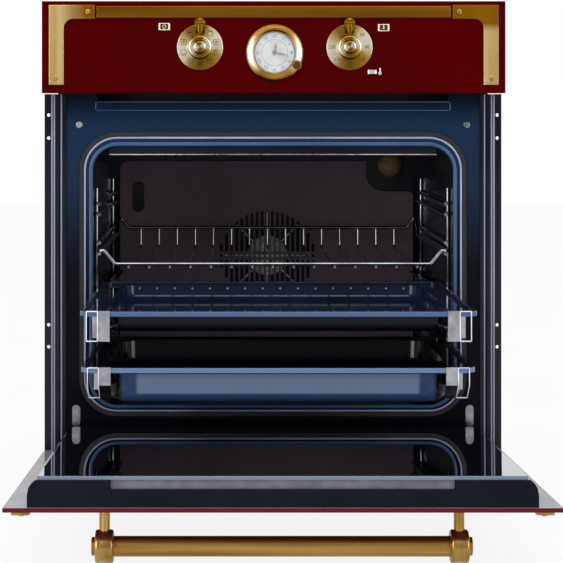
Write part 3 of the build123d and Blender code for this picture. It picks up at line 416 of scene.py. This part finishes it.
# Moulded plastics, screen-printed inks and a moulded silicone seal, all dull and even.
black_plastic = plastic("Black_Moulded_ABS", "#050505", "#0d0d0e", (0.4, 0.5))
grey_plastic = plastic("Grey_Moulded_PBT", "#4a4a4e", "#5a5a5e", (0.4, 0.5))
ink = plastic("Black_Printing_Ink", "#0b0a08", "#1a1712", (0.5, 0.6), grain=0.0)
gold_ink = plastic("Gold_Printing_Ink", "#d9c79a", "#efe2c0", (0.4, 0.5), grain=0.0)
white_ink = plastic("White_Printing_Ink", "#d8d4d0", "#f2efea", (0.4, 0.5), grain=0.0)
rubber = plastic("Black_Silicone_Gasket", "#050506", "#101012", (0.5, 0.65))
# A dull grey strip in the door's slot: painted light, for the pale floor seen through the slot.
slot_painted_light = plastic("Grey_Slot_Painted_Light", "#53555d", "#63656d", (0.4, 0.5))
# Rolled sheet, nickel plating and blackened sheet: soft grey gloss with faint rolling lines.
steel = metal("Pressed_Steel", "#8f9297", "#c2c4c8", (0.22, 0.34), 60.0, (1, 0.1, 1))[0]
nickel = metal("Nickel_Plated_Steel", "#b4b3bc", "#dcdbe2", (0.2, 0.3), 70.0)[0]
# The fan is steel in fact. It is shaded as a pale non-metal, painted light that makes it brighter behind the
# grille.
fan_painted_light = plastic("Pale_Fan_Steel_Painted_Light", "#fafafc", "#ffffff", (0.3, 0.4), grain=0.05)
dark_steel = metal("Blackened_Rail_Steel", "#26282e", "#3c3f47", (0.22, 0.34), 60.0, (1, 0.1, 1))[0]
# The feet's cut edges are steel too, also shaded as a pale non-metal: a painted highlight.
steel_edge_highlight = plastic("Steel_Edge_Painted_Highlight", "#d4d6de", "#f0f1f6", (0.25, 0.35), grain=0.0)
# Raised dots of the tray, painted pale all over as highlights.
dimple_highlight = enamel("Dimple_Painted_Highlight_Enamel", "#8890a8", "#a2a9be", (0.1, 0.2), 0.5, 0.0)[0]
# Drawn wire, chromed: a hard mirror, toned down to the photograph's dark wires.
chrome = metal("Chrome_Plated_Wire", "#7c8088", "#b0b4ba", (0.06, 0.12), 30.0)[0]
# Brushed brass, patinated brass and satin copper, each a little streaked by the brush.
brass = metal("Brushed_Antique_Brass", "#b4863a", "#e2bc78", (0.26, 0.36), 90.0, (1, 1, 0.08), 0.05)[0]
dark_brass = metal("Dark_Patinated_Brass", "#7c4e10", "#906018", (0.34, 0.42), 60.0, (0.05, 1, 1), 0.05)[0]
copper = metal("Satin_Copper", "#8c4a30", "#b4673e", (0.25, 0.35), 80.0)[0]
dial_left = turned_metal("Turned_Function_Dial_Brass", function_centre, DIAL_STOPS, (0.3, 0.42))
dial_right = turned_metal("Turned_Temperature_Dial_Brass", temperature_centre, DIAL_STOPS, (0.3, 0.42))
knob_finish = (DIAL_STOPS, (0.26, 0.36), knob_grooves)
knob_left = turned_metal("Turned_Function_Knob_Brass", function_centre, *knob_finish)
knob_right = turned_metal("Turned_Temperature_Knob_Brass", temperature_centre, *knob_finish)
bezel_brass = turned_metal("Turned_Bezel_Brass", clock_centre, BEZEL_STOPS, (0.22, 0.32))
# Printed card of the clock, and the signal's moulded lens, pale grey when off.
clock_card = plastic("Printed_Clock_Card", "#abafaf", "#c4c7c6", (0.5, 0.6), grain=0.0)
lens = plastic("Grey_Signal_Lens", "#8f9ea3", "#b9c4c8", (0.12, 0.2), 1.49, 0.05)
glass = clear_glass("Clear_Soda_Glass", "#dfe6e4", "#f4f6f6", 0.12)
warm_glass = clear_glass("Warm_Lamp_Glass", "#6e5a34", "#b49a62", 0.55)
galvanised = spangled_zinc()

# The painted reflection on a pale flat of the lower tray's front wall: its half width, its levels, its corner
# and its two colours.
PALE_FLAT_REFLECTION = (0.163, 0.123, 0.1475, 0.012, "#66758f", "#2c4264")

FINISH = {
    "cabinet_shell": galvanised,
    "rear_cover": galvanised,
    "terminal_cover": black_plastic,
    "front_frame": frame_enamel(),
    "door_gasket": rubber,
    "cavity_liner": cavity,
    "grill_shield": cavity,
    "back_liner": back_wall_enamel(),
    "fan_motor": steel,
    "convection_fan": fan_painted_light,
    "ring_element": steel,
    "grill_element": dark_steel,
    "lamp_holder": grey_plastic,
    "lamp_glass": warm_glass,
    "side_rack_right": chrome,
    "side_rack_left": chrome,
    "side_trim_right": striped_trim(),
    "hinge_brackets": nickel,
    "air_outlet": black_plastic,
    "control_panel": maroon,
    "trim_bar": dark_brass,
    "corner_bracket_right": bracket_brass("Right_Bracket_Brass", 1),
    "corner_bracket_left": bracket_brass("Left_Bracket_Brass", -1),
    "panel_screws": brass,
    "frame_screws": steel,
    "function_dial": dial_left,
    "temperature_dial": dial_right,
    "function_knob": knob_left,
    "temperature_knob": knob_right,
    "function_switch": grey_plastic,
    "thermostat": grey_plastic,
    "clock_case": black_plastic,
    "clock_face": clock_card,
    "clock_bezel": bezel_brass,
    "clock_glass": glass,
    "hour_hand": copper,
    "minute_hand": copper,
    "clock_setter": dark_brass,
    "indicator_lens": lens,
    "door_outer_panel": door_skin(),
    "door_inner_glass": door_pane(),
    "door_top_profile": navy,
    "door_bottom_profile": navy,
    "door_side_profile_right": navy,
    "door_side_profile_left": navy,
    "door_hinge_arms": steel,
    "handle_bar": handle_brass(),
    "handle_mount_right": brass,
    "handle_mount_left": brass,
    "door_straps": brass,
    "upper_tray": tray_enamel("Navy_Upper_Tray_Enamel", ("#121a2a", "#18223a"), 0.2172, "#46597e"),
    "lower_tray": tray_enamel("Navy_Lower_Tray_Enamel", ("#040509", "#080a12"), 0.15, "#5c7599", PALE_FLAT_REFLECTION),
    "upper_rails_fixed": dark_steel,
    "lower_rails_fixed": dark_steel,
    "upper_rails_middle": steel,
    "lower_rails_middle": steel,
    "upper_rails_inner": nickel,
    "lower_rails_inner": nickel,
    "wire_shelf": chrome,
}
FINISH["side_trim_left"] = FINISH["side_trim_right"]
for name, material in FINISH.items():
    mesh = nodes[name].data
    mesh.materials.clear()
    mesh.materials.append(material)


# Small helpers for pieces


def make_piece(name, bm, material, body, smooth=True):
    """A finished piece from a bmesh that is already in place, riding on a body."""
    bmesh.ops.remove_doubles(bm, verts=bm.verts, dist=0.000001)
    bmesh.ops.recalc_face_normals(bm, faces=bm.faces)
    mesh = bpy.data.meshes.new(name)
    bm.to_mesh(mesh)
    bm.free()
    mesh.materials.append(material)
    for face in mesh.polygons:
        face.use_smooth = smooth
    piece = bpy.data.objects.new(name, mesh)
    bpy.context.scene.collection.objects.link(piece)
    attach(piece, body)
    return piece


def prism(bm, outline, front, back):
    """A closed plate between two depths, from an outline of x and z points."""
    near = [bm.verts.new((x, front, z)) for x, z in outline]
    far = [bm.verts.new((x, back, z)) for x, z in outline]
    bm.faces.new(near)
    bm.faces.new(far[::-1])
    for i in range(len(outline)):
        j = (i + 1) % len(outline)
        bm.faces.new((near[i], far[i], far[j], near[j]))


def band(bm, outer, inner, front, back):
    """A closed flat ring between two depths, from two outlines with as many points."""
    lines = ((outer, front), (inner, front), (inner, back), (outer, back))
    loops = [[bm.verts.new((x, y, z)) for x, z in line] for line, y in lines]
    for here, there in zip(loops, loops[1:] + loops[:1]):
        for i in range(len(outer)):
            j = (i + 1) % len(outer)
            bm.faces.new((here[i], here[j], there[j], there[i]))


def circle(centre, radius, count=48):
    turns = [2 * math.pi * i / count for i in range(count)]
    return [(centre[0] + radius * math.sin(t), centre[1] + radius * math.cos(t)) for t in turns]


def round_rectangle(centre, half_w, half_h, radius, steps=6):
    points = []
    corners = ((1, 1, 0), (-1, 1, 90), (-1, -1, 180), (1, -1, 270))
    for sx, sz, start in corners:
        x, z = centre[0] + sx * (half_w - radius), centre[1] + sz * (half_h - radius)
        for step in range(steps + 1):
            turn = math.radians(start + 90 * step / steps)
            points.append((x + radius * math.cos(turn), z + radius * math.sin(turn)))
    return points


def around(centre, radius, degrees):
    """A point at a clockwise angle from the top."""
    turn = math.radians(degrees)
    return centre[0] + radius * math.sin(turn), centre[1] + radius * math.cos(turn)


def turn_about(points, centre, degrees):
    """Points turned clockwise about a centre."""
    turn = math.radians(degrees)
    c, s = math.cos(turn), math.sin(turn)
    moved = [(x - centre[0], z - centre[1]) for x, z in points]
    return [(centre[0] + x * c + z * s, centre[1] - x * s + z * c) for x, z in moved]


def lettering(bm, words, size, centre, front, degrees=0.0, thick=0.08 * MM):
    """Raised ink in Blender's plain letters, upright on the front and turned clockwise."""
    curve = bpy.data.curves.new("Letters", "FONT")
    curve.body = words
    curve.size = size
    curve.extrude = thick / 2
    curve.align_x, curve.align_y = "CENTER", "CENTER"
    curve.resolution_u = 3
    holder = bpy.data.objects.new("Letters", curve)
    bpy.context.scene.collection.objects.link(holder)
    graph = bpy.context.evaluated_depsgraph_get()
    mesh = bpy.data.meshes.new_from_object(holder.evaluated_get(graph))
    stand = Matrix.Rotation(math.radians(90), 4, "X") @ Matrix.Rotation(-math.radians(degrees), 4, "Z")
    mesh.transform(Matrix.Translation((centre[0], front - thick / 2, centre[1])) @ stand)
    bm.from_mesh(mesh)
    bpy.data.objects.remove(holder)
    bpy.data.curves.remove(curve)
    bpy.data.meshes.remove(mesh)


# Marks printed on the dials, the clock and the panel


INK = 0.1 * MM


def function_marks():
    """Nine framed signs round the function dial: heat from above, below and behind, fan and grill."""
    bm = bmesh.new()
    front = dial_front
    ring_r = 22 * MM
    half = 3.6 * MM
    thin = 0.5 * MM

    def bar(centre, dx, dz, w, h):
        x, z = centre[0] + dx * MM, centre[1] + dz * MM
        w, h = w * MM / 2, h * MM / 2
        prism(bm, [(x - w, z - h), (x + w, z - h), (x + w, z + h), (x - w, z + h)], front - INK, front)

    def blade_wheel(centre):
        for turn in range(0, 360, 90):
            leaf = [(0, 0), (0.5, 0.4), (0.7, 1.5), (0, 1.9), (-0.3, 1.0)]
            shape = [(centre[0] + x * MM, centre[1] + z * MM) for x, z in leaf]
            prism(bm, turn_about(shape, centre, turn), front - INK, front)

    def pointer(centre):
        corners = ((-2.6, 2.6), (2.6, 2.6), (0, -2.4))
        prism(bm, [(centre[0] + x * MM, centre[1] + z * MM) for x, z in corners], front - INK, front)

    motifs = {
        36: lambda c: bar(c, 0, 2.0, 4.6, 0.9),
        72: blade_wheel,
        108: lambda c: (bar(c, 0, 2.0, 5.0, 0.8), bar(c, 0, 0, 4.4, 0.5), bar(c, 0, -1.9, 4.4, 0.5)),
        144: lambda c: (bar(c, 0, 1.2, 4.4, 1.2), bar(c, 0, -1.8, 3.8, 0.5)),
        180: pointer,
        216: blade_wheel,
        252: lambda c: bar(c, 0, -2.0, 4.2, 0.6),
        288: lambda c: (blade_wheel(c), bar(c, 0, 2.4, 4.0, 0.5)),
        324: lambda c: bar(c, 0, 0.9, 4.6, 1.6),
    }
    for degrees, motif in motifs.items():
        centre = around(function_centre, ring_r, degrees)
        outer = round_rectangle(centre, half, half, 1.1 * MM)
        inner = round_rectangle(centre, half - thin, half - thin, 0.7 * MM)
        band(bm, outer, inner, front - INK, front)
        motif(centre)
    make_piece("function_dial_marks", bm, ink, "cabinet", smooth=False)


def temperature_marks():
    """Round numbers from 50 to 250, set every 45 degrees."""
    bm = bmesh.new()
    for step, degrees in enumerate(range(45, 271, 45)):
        centre = around(temperature_centre, 22.4 * MM, degrees)
        lettering(bm, str(50 + 40 * step), 6.0 * MM, centre, dial_front, thick=INK)
    make_piece("temperature_dial_marks", bm, ink, "cabinet", smooth=False)


def clock_marks():
    """Roman hours set radially round a thin circle."""
    bm = bmesh.new()
    hours = ("XII", "I", "II", "III", "IV", "V", "VI", "VII", "VIII", "IX", "X", "XI")
    for number, hour in enumerate(hours):
        degrees = number * 30
        lettering(bm, hour, 5.6 * MM, around(clock_centre, 21.4 * MM, degrees), face_front, degrees, INK)
    outer, inner = circle(clock_centre, 17.2 * MM, 96), circle(clock_centre, 16.8 * MM, 96)
    band(bm, outer, inner, face_front - INK, face_front)
    make_piece("clock_hours", bm, ink, "cabinet", smooth=False)
    # A dark ring just inside the bezel, round the face's edge: painted shade.
    shade = bmesh.new()
    rim = face_radius - 0.1 * MM
    outer, inner = circle(clock_centre, rim, 96), circle(clock_centre, rim - 1.6 * MM, 96)
    band(shade, outer, inner, face_front - 2.5 * MM, face_front)
    make_piece("clock_face_shade_ring", shade, dark_steel, "cabinet")


def panel_signs():
    """Two small framed plates, one beside each knob, and a thermometer by the signal lens."""
    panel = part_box("control_panel")[0][1]
    plates = ((-140.3, 562.3), (141.1, 561.0))
    gold = bmesh.new()
    dark = bmesh.new()
    for x, z in plates:
        centre = (x * MM, z * MM)
        outer = round_rectangle(centre, 7.3 * MM, 4.5 * MM, 0.8 * MM)
        inner = round_rectangle(centre, 5.2 * MM, 3.6 * MM, 0.5 * MM)
        band(gold, outer, inner, panel - INK, panel)
        prism(dark, inner, panel - INK / 2, panel)
    ring = ((-140.3 * MM, 562.3 * MM), 2.4 * MM, 1.8 * MM)
    band(gold, circle(ring[0], ring[1], 24), circle(ring[0], ring[2], 24), panel - INK, panel)
    prism(gold, circle((141.1 * MM, 560.2 * MM), 1.3 * MM, 16), panel - INK, panel)
    prism(gold, round_rectangle((141.1 * MM, 562.0 * MM), 0.6 * MM, 2.3 * MM, 0.5 * MM), panel - INK, panel)
    make_piece("panel_sign_frames", gold, gold_ink, "cabinet", smooth=False)
    make_piece("panel_sign_fields", dark, ink, "cabinet", smooth=False)
    white = bmesh.new()
    bulb = (136.4 * MM, 502.6 * MM)
    band(white, circle(bulb, 2.1 * MM, 24), circle(bulb, 1.1 * MM, 24), panel - INK, panel)
    stem = round_rectangle((bulb[0], bulb[1] + 4.2 * MM), 0.75 * MM, 2.4 * MM, 0.6 * MM)
    prism(white, stem, panel - INK, panel)
    low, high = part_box("indicator_lens")
    middle = (low[2] + high[2]) / 2
    for x in (low[0] + 0.6 * MM, high[0] - 0.6 * MM):
        edge = round_rectangle((x, middle), 0.9 * MM, 2.7 * MM, 0.3 * MM)
        prism(white, edge, low[1] - INK, low[1])
    make_piece("panel_thermometer_sign", white, white_ink, "cabinet", smooth=False)


def lever_ribs(name, centre, body, material):
    """Two raised ribs along a knob's lever, which end in a flared collar and a small neck."""
    bm = bmesh.new()
    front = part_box(name)[0][1] + 9.7 * MM
    half = [(0.55, 9.5), (0.5, 14), (0.5, 20), (1.0, 27.5), (1.5, 31.2)]
    for side in (-1, 1):
        outer = [(side * (2.1 + w * 0.9) * MM, r * MM) for w, r in half]
        inner = [(side * (1.6 - w * 0.3) * MM, r * MM) for w, r in reversed(half)]
        line = [(centre[0] + x, centre[1] + z) for x, z in outer + inner]
        prism(bm, line, front - 1.0 * MM, front + 0.2 * MM)
    collar = round_rectangle((centre[0], centre[1] + 31.6 * MM), 6.3 * MM, 1.0 * MM, 0.9 * MM)
    prism(bm, collar, front - 1.4 * MM, front + 0.2 * MM)
    neck = round_rectangle((centre[0], centre[1] + 35.0 * MM), 2.6 * MM, 2.4 * MM, 0.8 * MM)
    prism(bm, neck, front - 1.0 * MM, front + 0.2 * MM)
    rounding = {"offset": 0.25 * MM, "segments": 2, "affect": "EDGES", "clamp_overlap": True}
    bmesh.ops.bevel(bm, geom=list(bm.edges), **rounding)
    make_piece(name + "_ribs", bm, material, body)


function_marks()
temperature_marks()
clock_marks()
panel_signs()
lever_ribs("function_knob", function_centre, "function_knob", knob_left)
lever_ribs("temperature_knob", temperature_centre, "temperature_knob", knob_right)


# Rolled edges of the front frame, painted as highlights, the painted light in the door's slot and the
# shield's hem


def rolled_ring(bm, half, low, high, radius, section):
    """A closed rounded-rectangle ring. The section lists how far out and how far forward it goes."""
    loops = []
    for out, depth in section:
        centre = (0, (low + high) / 2)
        line = round_rectangle(centre, half + out, (high - low) / 2 + out, radius + out, 12)
        loops.append([bm.verts.new((x, depth, z)) for x, z in line])
    for here, there in zip(loops, loops[1:] + loops[:1]):
        for i in range(len(here)):
            j = (i + 1) % len(here)
            bm.faces.new((here[i], here[j], there[j], there[i]))


def arched(width, rise, base):
    """A low arch over a flat foot, as offsets out and depths forward."""
    steps = 6
    turns = [math.pi * i / steps for i in range(steps + 1)]
    arch = [(width / 2 * math.cos(t), base - rise * math.sin(t)) for t in turns]
    return arch + [(-width / 2, base + 0.3 * MM), (width / 2, base + 0.3 * MM)]


def frame_rolls():
    # The pale and blue rolls are painted highlights along the lip and the bead.
    low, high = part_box("front_frame")
    lip = low[1]
    outer = bmesh.new()
    rolled_ring(outer, 245.0 * MM, 63.6 * MM, 419.2 * MM, 42.0 * MM, arched(2.6 * MM, 0.5 * MM, lip))
    make_piece("frame_outer_roll", outer, pale_highlight_roll, "cabinet")
    inner = bmesh.new()
    rolled_ring(inner, 237.2 * MM, 69.0 * MM, 411.0 * MM, 34.5 * MM, arched(4.4 * MM, 0.5 * MM, lip))
    make_piece("frame_inner_roll", inner, blue_highlight_roll, "cabinet")
    bead = bmesh.new()
    section = arched(1.2 * MM, 0.4 * MM, FRONT - 1.5 * MM)
    rolled_ring(bead, 231.0 * MM, 454.8 * MM, 465.8 * MM, 2.6 * MM, section)
    make_piece("frame_bead_roll", bead, blue_highlight_roll, "cabinet")


def rod(bm, start, end, radius, sides=10):
    """A round rod with rounded ends, between two points."""
    start, end = Vector(start), Vector(end)
    way = (end - start).normalized()
    side = way.orthogonal().normalized()
    other = way.cross(side)
    rings = []
    turns = [2 * math.pi * i / sides for i in range(sides)]
    spokes = [side * math.cos(t) + other * math.sin(t) for t in turns]
    inset = way * radius * 0.5
    for place, share in ((start, 0.55), (start + inset, 1), (end - inset, 1), (end, 0.55)):
        rings.append([bm.verts.new(place + spoke * radius * share) for spoke in spokes])
    for here, there in zip(rings, rings[1:]):
        for i in range(sides):
            j = (i + 1) % sides
            bm.faces.new((here[i], here[j], there[j], there[i]))
    bm.faces.new(rings[0][::-1])
    bm.faces.new(rings[-1])


def shield_hem():
    low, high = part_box("grill_shield")
    bm = bmesh.new()
    y, z = low[1] + 0.4 * MM, low[2] + 0.6 * MM
    rod(bm, (low[0], y, z), (high[0], y, z), 0.9 * MM)
    make_piece("grill_shield_hem", bm, hem, "cabinet")


def opened(bm):
    """Turns a mesh made on the shut door to the open door, about the hinge."""
    swing = Matrix.Rotation(DOOR_OPEN, 4, "X")
    turn = Matrix.Translation(DOOR_AXIS) @ swing @ Matrix.Translation(-DOOR_AXIS)
    bmesh.ops.transform(bm, matrix=turn, verts=bm.verts)


def door_slot_painted_light():
    """Grey floor of the long slot in the door's upper edge: painted light, for the pale floor seen through
    the slot.
    """
    bm = bmesh.new()
    y0, y1, half = FRONT - 17.3 * MM, FRONT - 7.7 * MM, 183.6 * MM
    z0, z1 = 456.2 * MM, 466.0 * MM
    prism(bm, round_rectangle((0, (z0 + z1) / 2), half, (z1 - z0) / 2, 0.8 * MM), y0, y1)
    opened(bm)
    make_piece("door_slot_painted_light", bm, slot_painted_light, "door", smooth=False)


def foot_outline(name, body, material, corners):
    """The cut edge round a rail's foot, painted as a highlight, from its corners as y and z down one side."""
    for side in (-1, 1):
        bm = bmesh.new()
        low, high = side * 208.4 * MM, side * 221.2 * MM
        for x in (low, high):
            points = [(x, y * MM, z * MM) for y, z in corners]
            for start, end in zip(points, points[1:]):
                rod(bm, start, end, 0.6 * MM, 8)
        for y, z in (corners[0], corners[-1]):
            rod(bm, (low, y * MM, z * MM), (high, y * MM, z * MM), 0.6 * MM, 8)
        make_piece(name + ("_right" if side > 0 else "_left"), bm, material, body)


frame_rolls()
shield_hem()
door_slot_painted_light()
foot_outline("upper_foot_edge", "upper_tray", steel_edge_highlight, ((-566.2, 223.6), (-566.2, 189.4)))
lower_corners = ((-548.2, 156.4), (-548.2, 136.0), (-525.2, 118.6))
foot_outline("lower_foot_edge", "lower_tray", steel_edge_highlight, lower_corners)


# What repeats, made by Geometry Nodes: one unit goes on every point of a grid or a ring


def repeat_tree(name, ring):
    """A tree that sets its mesh on points. A grid stands across and up, a ring stands upright and
    turns each unit outwards. Every unit has a small turn of its own from the seed."""
    tree = bpy.data.node_groups.new(name, "GeometryNodeTree")
    sockets = [("Geometry", "Geometry"), ("Count", "Int"), ("Rows", "Int"), ("Pitch", "Float")]
    sockets += [("Row Pitch", "Float"), ("Radius", "Float"), ("Loose Turn", "Float")]
    sockets += [("Seed", "Int"), ("Material", "Material")]
    for label, kind in sockets:
        tree.interface.new_socket(name=label, in_out="INPUT", socket_type="NodeSocket" + kind)
    tree.interface.new_socket(name="Geometry", in_out="OUTPUT", socket_type="NodeSocketGeometry")
    given = tree.nodes.new("NodeGroupInput").outputs
    if ring:
        points = add(tree, "GeometryNodeMeshCircle", Vertices=given["Count"], Radius=given["Radius"])
        number = tree.nodes.new("GeometryNodeInputIndex").outputs[0]
        share = calculate(tree, "DIVIDE", number, given["Count"])
        lean = calculate(tree, "MULTIPLY_ADD", share, -2 * math.pi, math.pi / 2)
    else:
        count, rows = given["Count"], given["Rows"]
        width = times(tree, calculate(tree, "SUBTRACT", count, 1.0), given["Pitch"])
        height = times(tree, calculate(tree, "SUBTRACT", rows, 1.0), given["Row Pitch"])
        links = {"Size_X": width, "Size_Y": height, "Vertices_X": count, "Vertices_Y": rows}
        points = add(tree, "GeometryNodeMeshGrid", **links)
        lean = 0.0
    upright = add(tree, "GeometryNodeTransform", Geometry=points.outputs[0], Rotation=(math.pi / 2, 0, 0))
    span = {"i3": given["Loose Turn"], "Seed": given["Seed"]}
    loose = add(tree, "FunctionNodeRandomValue", {"data_type": "FLOAT"}, i2=0.0, **span)
    turn = add(tree, "ShaderNodeCombineXYZ", Y=calculate(tree, "ADD", lean, loose.outputs[1]))
    links = {"Points": upright.outputs[0], "Instance": given["Geometry"], "Rotation": turn.outputs[0]}
    placed = add(tree, "GeometryNodeInstanceOnPoints", **links)
    real = add(tree, "GeometryNodeRealizeInstances", Geometry=placed.outputs[0])
    coated = add(tree, "GeometryNodeSetMaterial", Geometry=real.outputs[0], Material=given["Material"])
    out = tree.nodes.new("NodeGroupOutput")
    tree.links.new(coated.outputs[0], out.inputs[0])
    return tree


grid_tree = repeat_tree("Repeat_On_Grid", False)
ring_tree = repeat_tree("Repeat_On_Ring", True)


def repeated(name, body, material, unit, tree, place, tilt=0.0, **values):
    """A plain mesh of a unit's bmesh repeated by a tree, put in its place and riding on a body."""
    mesh = bpy.data.meshes.new(name + "_unit")
    unit.to_mesh(mesh)
    unit.free()
    mesh.materials.append(material)
    holder = bpy.data.objects.new(name + "_unit", mesh)
    bpy.context.scene.collection.objects.link(holder)
    modifier = holder.modifiers.new("Repeat", "NODES")
    modifier.node_group = tree
    values = {"Material": material, **{label.replace("_", " "): value for label, value in values.items()}}
    for item in tree.interface.items_tree:
        if item.in_out == "INPUT" and item.name in values:
            modifier[item.identifier] = values[item.name]
    graph = bpy.context.evaluated_depsgraph_get()
    result = bpy.data.meshes.new_from_object(holder.evaluated_get(graph))
    bpy.data.objects.remove(holder)
    bpy.data.meshes.remove(mesh)
    result.transform(Matrix.Translation(place) @ Matrix.Rotation(tilt, 4, "X"))
    bm = bmesh.new()
    bm.from_mesh(result)
    bpy.data.meshes.remove(result)
    make_piece(name, bm, material, body)


def dome(radius, height, back=False, slot=False):
    """A low round head that faces the front, or the back, with or without a cross of two cuts."""
    bm = bmesh.new()
    way = 1 if back else -1
    loops = []
    for step in range(5):
        turn = math.pi / 2 * step / 5
        points = circle((0, 0), radius * math.cos(turn), 20)
        loops.append([bm.verts.new((x, way * height * math.sin(turn), z)) for x, z in points])
    for here, there in zip(loops, loops[1:]):
        for i in range(20):
            j = (i + 1) % 20
            bm.faces.new((here[i], here[j], there[j], there[i]))
    bm.faces.new(loops[0])
    bm.faces.new(loops[-1])
    if slot:
        for w, h in ((0.12, 0.62), (0.62, 0.12)):
            top = sorted((way * height * 0.9, way * height * 1.08))
            prism(bm, round_rectangle((0, 0), radius * w, radius * h, radius * 0.1, 2), *top)
    return bm


def tick_mark():
    bm = bmesh.new()
    prism(bm, round_rectangle((0, 0), 0.14 * MM, 0.55 * MM, 0.05 * MM, 1), -INK, 0)
    return bm


def repeats():
    """Minute ticks, the tray's dimples and the rear cover's screws."""
    x, z = clock_centre
    ticks = {"Count": 60, "Radius": 24.9 * MM}
    repeated("clock_minute_ticks", "cabinet", ink, tick_mark(), ring_tree, (x, face_front, z), **ticks)
    dimples = {"Count": 16, "Rows": 2, "Pitch": 23.7 * MM, "Row_Pitch": 9.5 * MM, "Seed": 3}
    place = (0, FRONT + 83.9 * MM, 210.3 * MM)
    dot = dome(1.3 * MM, 0.7 * MM)
    repeated("tray_dimples", "upper_tray", dimple_highlight, dot, grid_tree, place, -0.105, **dimples)
    low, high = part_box("rear_cover")
    middle = ((low[0] + high[0]) / 2, high[1] - 0.05 * MM, (low[2] + high[2]) / 2)
    wide, tall = high[0] - low[0] - 24 * MM, high[2] - low[2] - 24 * MM
    screws = {"Count": 5, "Rows": 2, "Pitch": wide / 4, "Row_Pitch": tall, "Loose_Turn": 1.5, "Seed": 11}
    head = dome(3.6 * MM, 1.3 * MM, back=True, slot=True)
    repeated("rear_cover_screws", "cabinet", nickel, head, grid_tree, middle, **screws)


repeats()


# Floor, lights and camera


def soft_box(name, place, aim, size, watts, tint="#ffffff"):
    data = bpy.data.lights.new(name, "AREA")
    data.shape = "RECTANGLE"
    data.size, data.size_y = size
    data.energy = watts
    data.color = linear(tint)[:3]
    lamp = bpy.data.objects.new(name, data)
    lamp.location = place
    lamp.rotation_euler = (Vector(aim) - Vector(place)).to_track_quat("-Z", "Y").to_euler()
    bpy.context.scene.collection.objects.link(lamp)


def straight_rays(tree):
    """1 for what the camera sees, straight or through glass, and the light path's node."""
    path = tree.nodes.new("ShaderNodeLightPath")
    camera, through = path.outputs["Is Camera Ray"], path.outputs["Is Transmission Ray"]
    return calculate(tree, "MAXIMUM", camera, through), path


def studio_world():
    """A white tent round the oven, open and dim only behind the camera."""
    world = bpy.data.worlds.new("Pale_Studio")
    bpy.context.scene.world = world
    world.use_nodes = True
    tree = world.node_tree
    tree.nodes.clear()
    seen, path = straight_rays(tree)
    way = tree.nodes.new("ShaderNodeTexCoord").outputs["Generated"]
    ahead = times(tree, along(tree, way, 1), -1.0)
    tent = spread(tree, ahead, 0.2, 0.8, 0.9, 0.22)
    strength = calculate(tree, "MAXIMUM", tent, seen)
    sky = add(tree, "ShaderNodeBackground", Color=linear("#ffffff"), Strength=strength)
    out = tree.nodes.new("ShaderNodeOutputWorld")
    tree.links.new(sky.outputs[0], out.inputs[0])


def studio_floor():
    """A plain white floor, which the camera sees almost as bright as the tent, with the oven's shadow."""
    level = cad_box[0][2] - 0.02
    mesh = bpy.data.meshes.new("Floor")
    mesh.from_pydata([(-7, -6, level), (7, -6, level), (7, 8, level), (-7, 8, level)], [], [(0, 1, 2, 3)])
    floor = bpy.data.objects.new("Floor", mesh)
    bpy.context.scene.collection.objects.link(floor)
    material, tree, shader, place = new_material("Pale_Floor")
    tone = ramp(tree, cloud(tree, place, 2.0), (0.3, "#f6f6f6"), (0.7, "#ffffff"))
    finish(tree, shader, tone, spread(tree, 0.5, 0, 1, 0.9, 0.9))
    seen, path = straight_rays(tree)
    strength = calculate(tree, "MAXIMUM", seen, 0.55)
    glow = add(tree, "ShaderNodeEmission", Color=linear("#ffffff"), Strength=strength)
    share = times(tree, calculate(tree, "MAXIMUM", seen, path.outputs["Is Glossy Ray"]), 0.88)
    both = add(tree, "ShaderNodeMixShader", i0=share, i1=shader.outputs[0], i2=glow.outputs[0])
    tree.links.new(both.outputs[0], tree.nodes["Material Output"].inputs[0])
    mesh.materials.append(material)


def view_camera():
    """The photograph is a one-point view from high and a little to the left, so the camera looks
    straight into the oven and its frame is shifted, as a view camera's is."""
    data = bpy.data.cameras.new("View_Camera")
    data.sensor_width = 36.0
    data.lens = 123.9
    data.shift_x = 0.0933
    data.shift_y = -0.301
    camera = bpy.data.objects.new("View_Camera", data)
    camera.location = (-0.0573, FRONT - 2.5265, 0.4527)
    camera.rotation_euler = (math.radians(90), 0, 0)
    bpy.context.scene.collection.objects.link(camera)
    bpy.context.scene.camera = camera


bpy.context.scene.view_settings.view_transform = "Standard"
studio_world()
studio_floor()
soft_box("Left_Softbox", (-1.7, -2.6, 0.9), (0, -0.2, 0.25), (1.0, 1.6), 30)
soft_box("Right_Softbox", (1.7, -2.6, 0.9), (0, -0.2, 0.25), (1.0, 1.6), 22)
soft_box("Top_Softbox", (0, -2.0, 2.3), (0, -0.3, 0.25), (1.8, 1.0), 24)
view_camera()
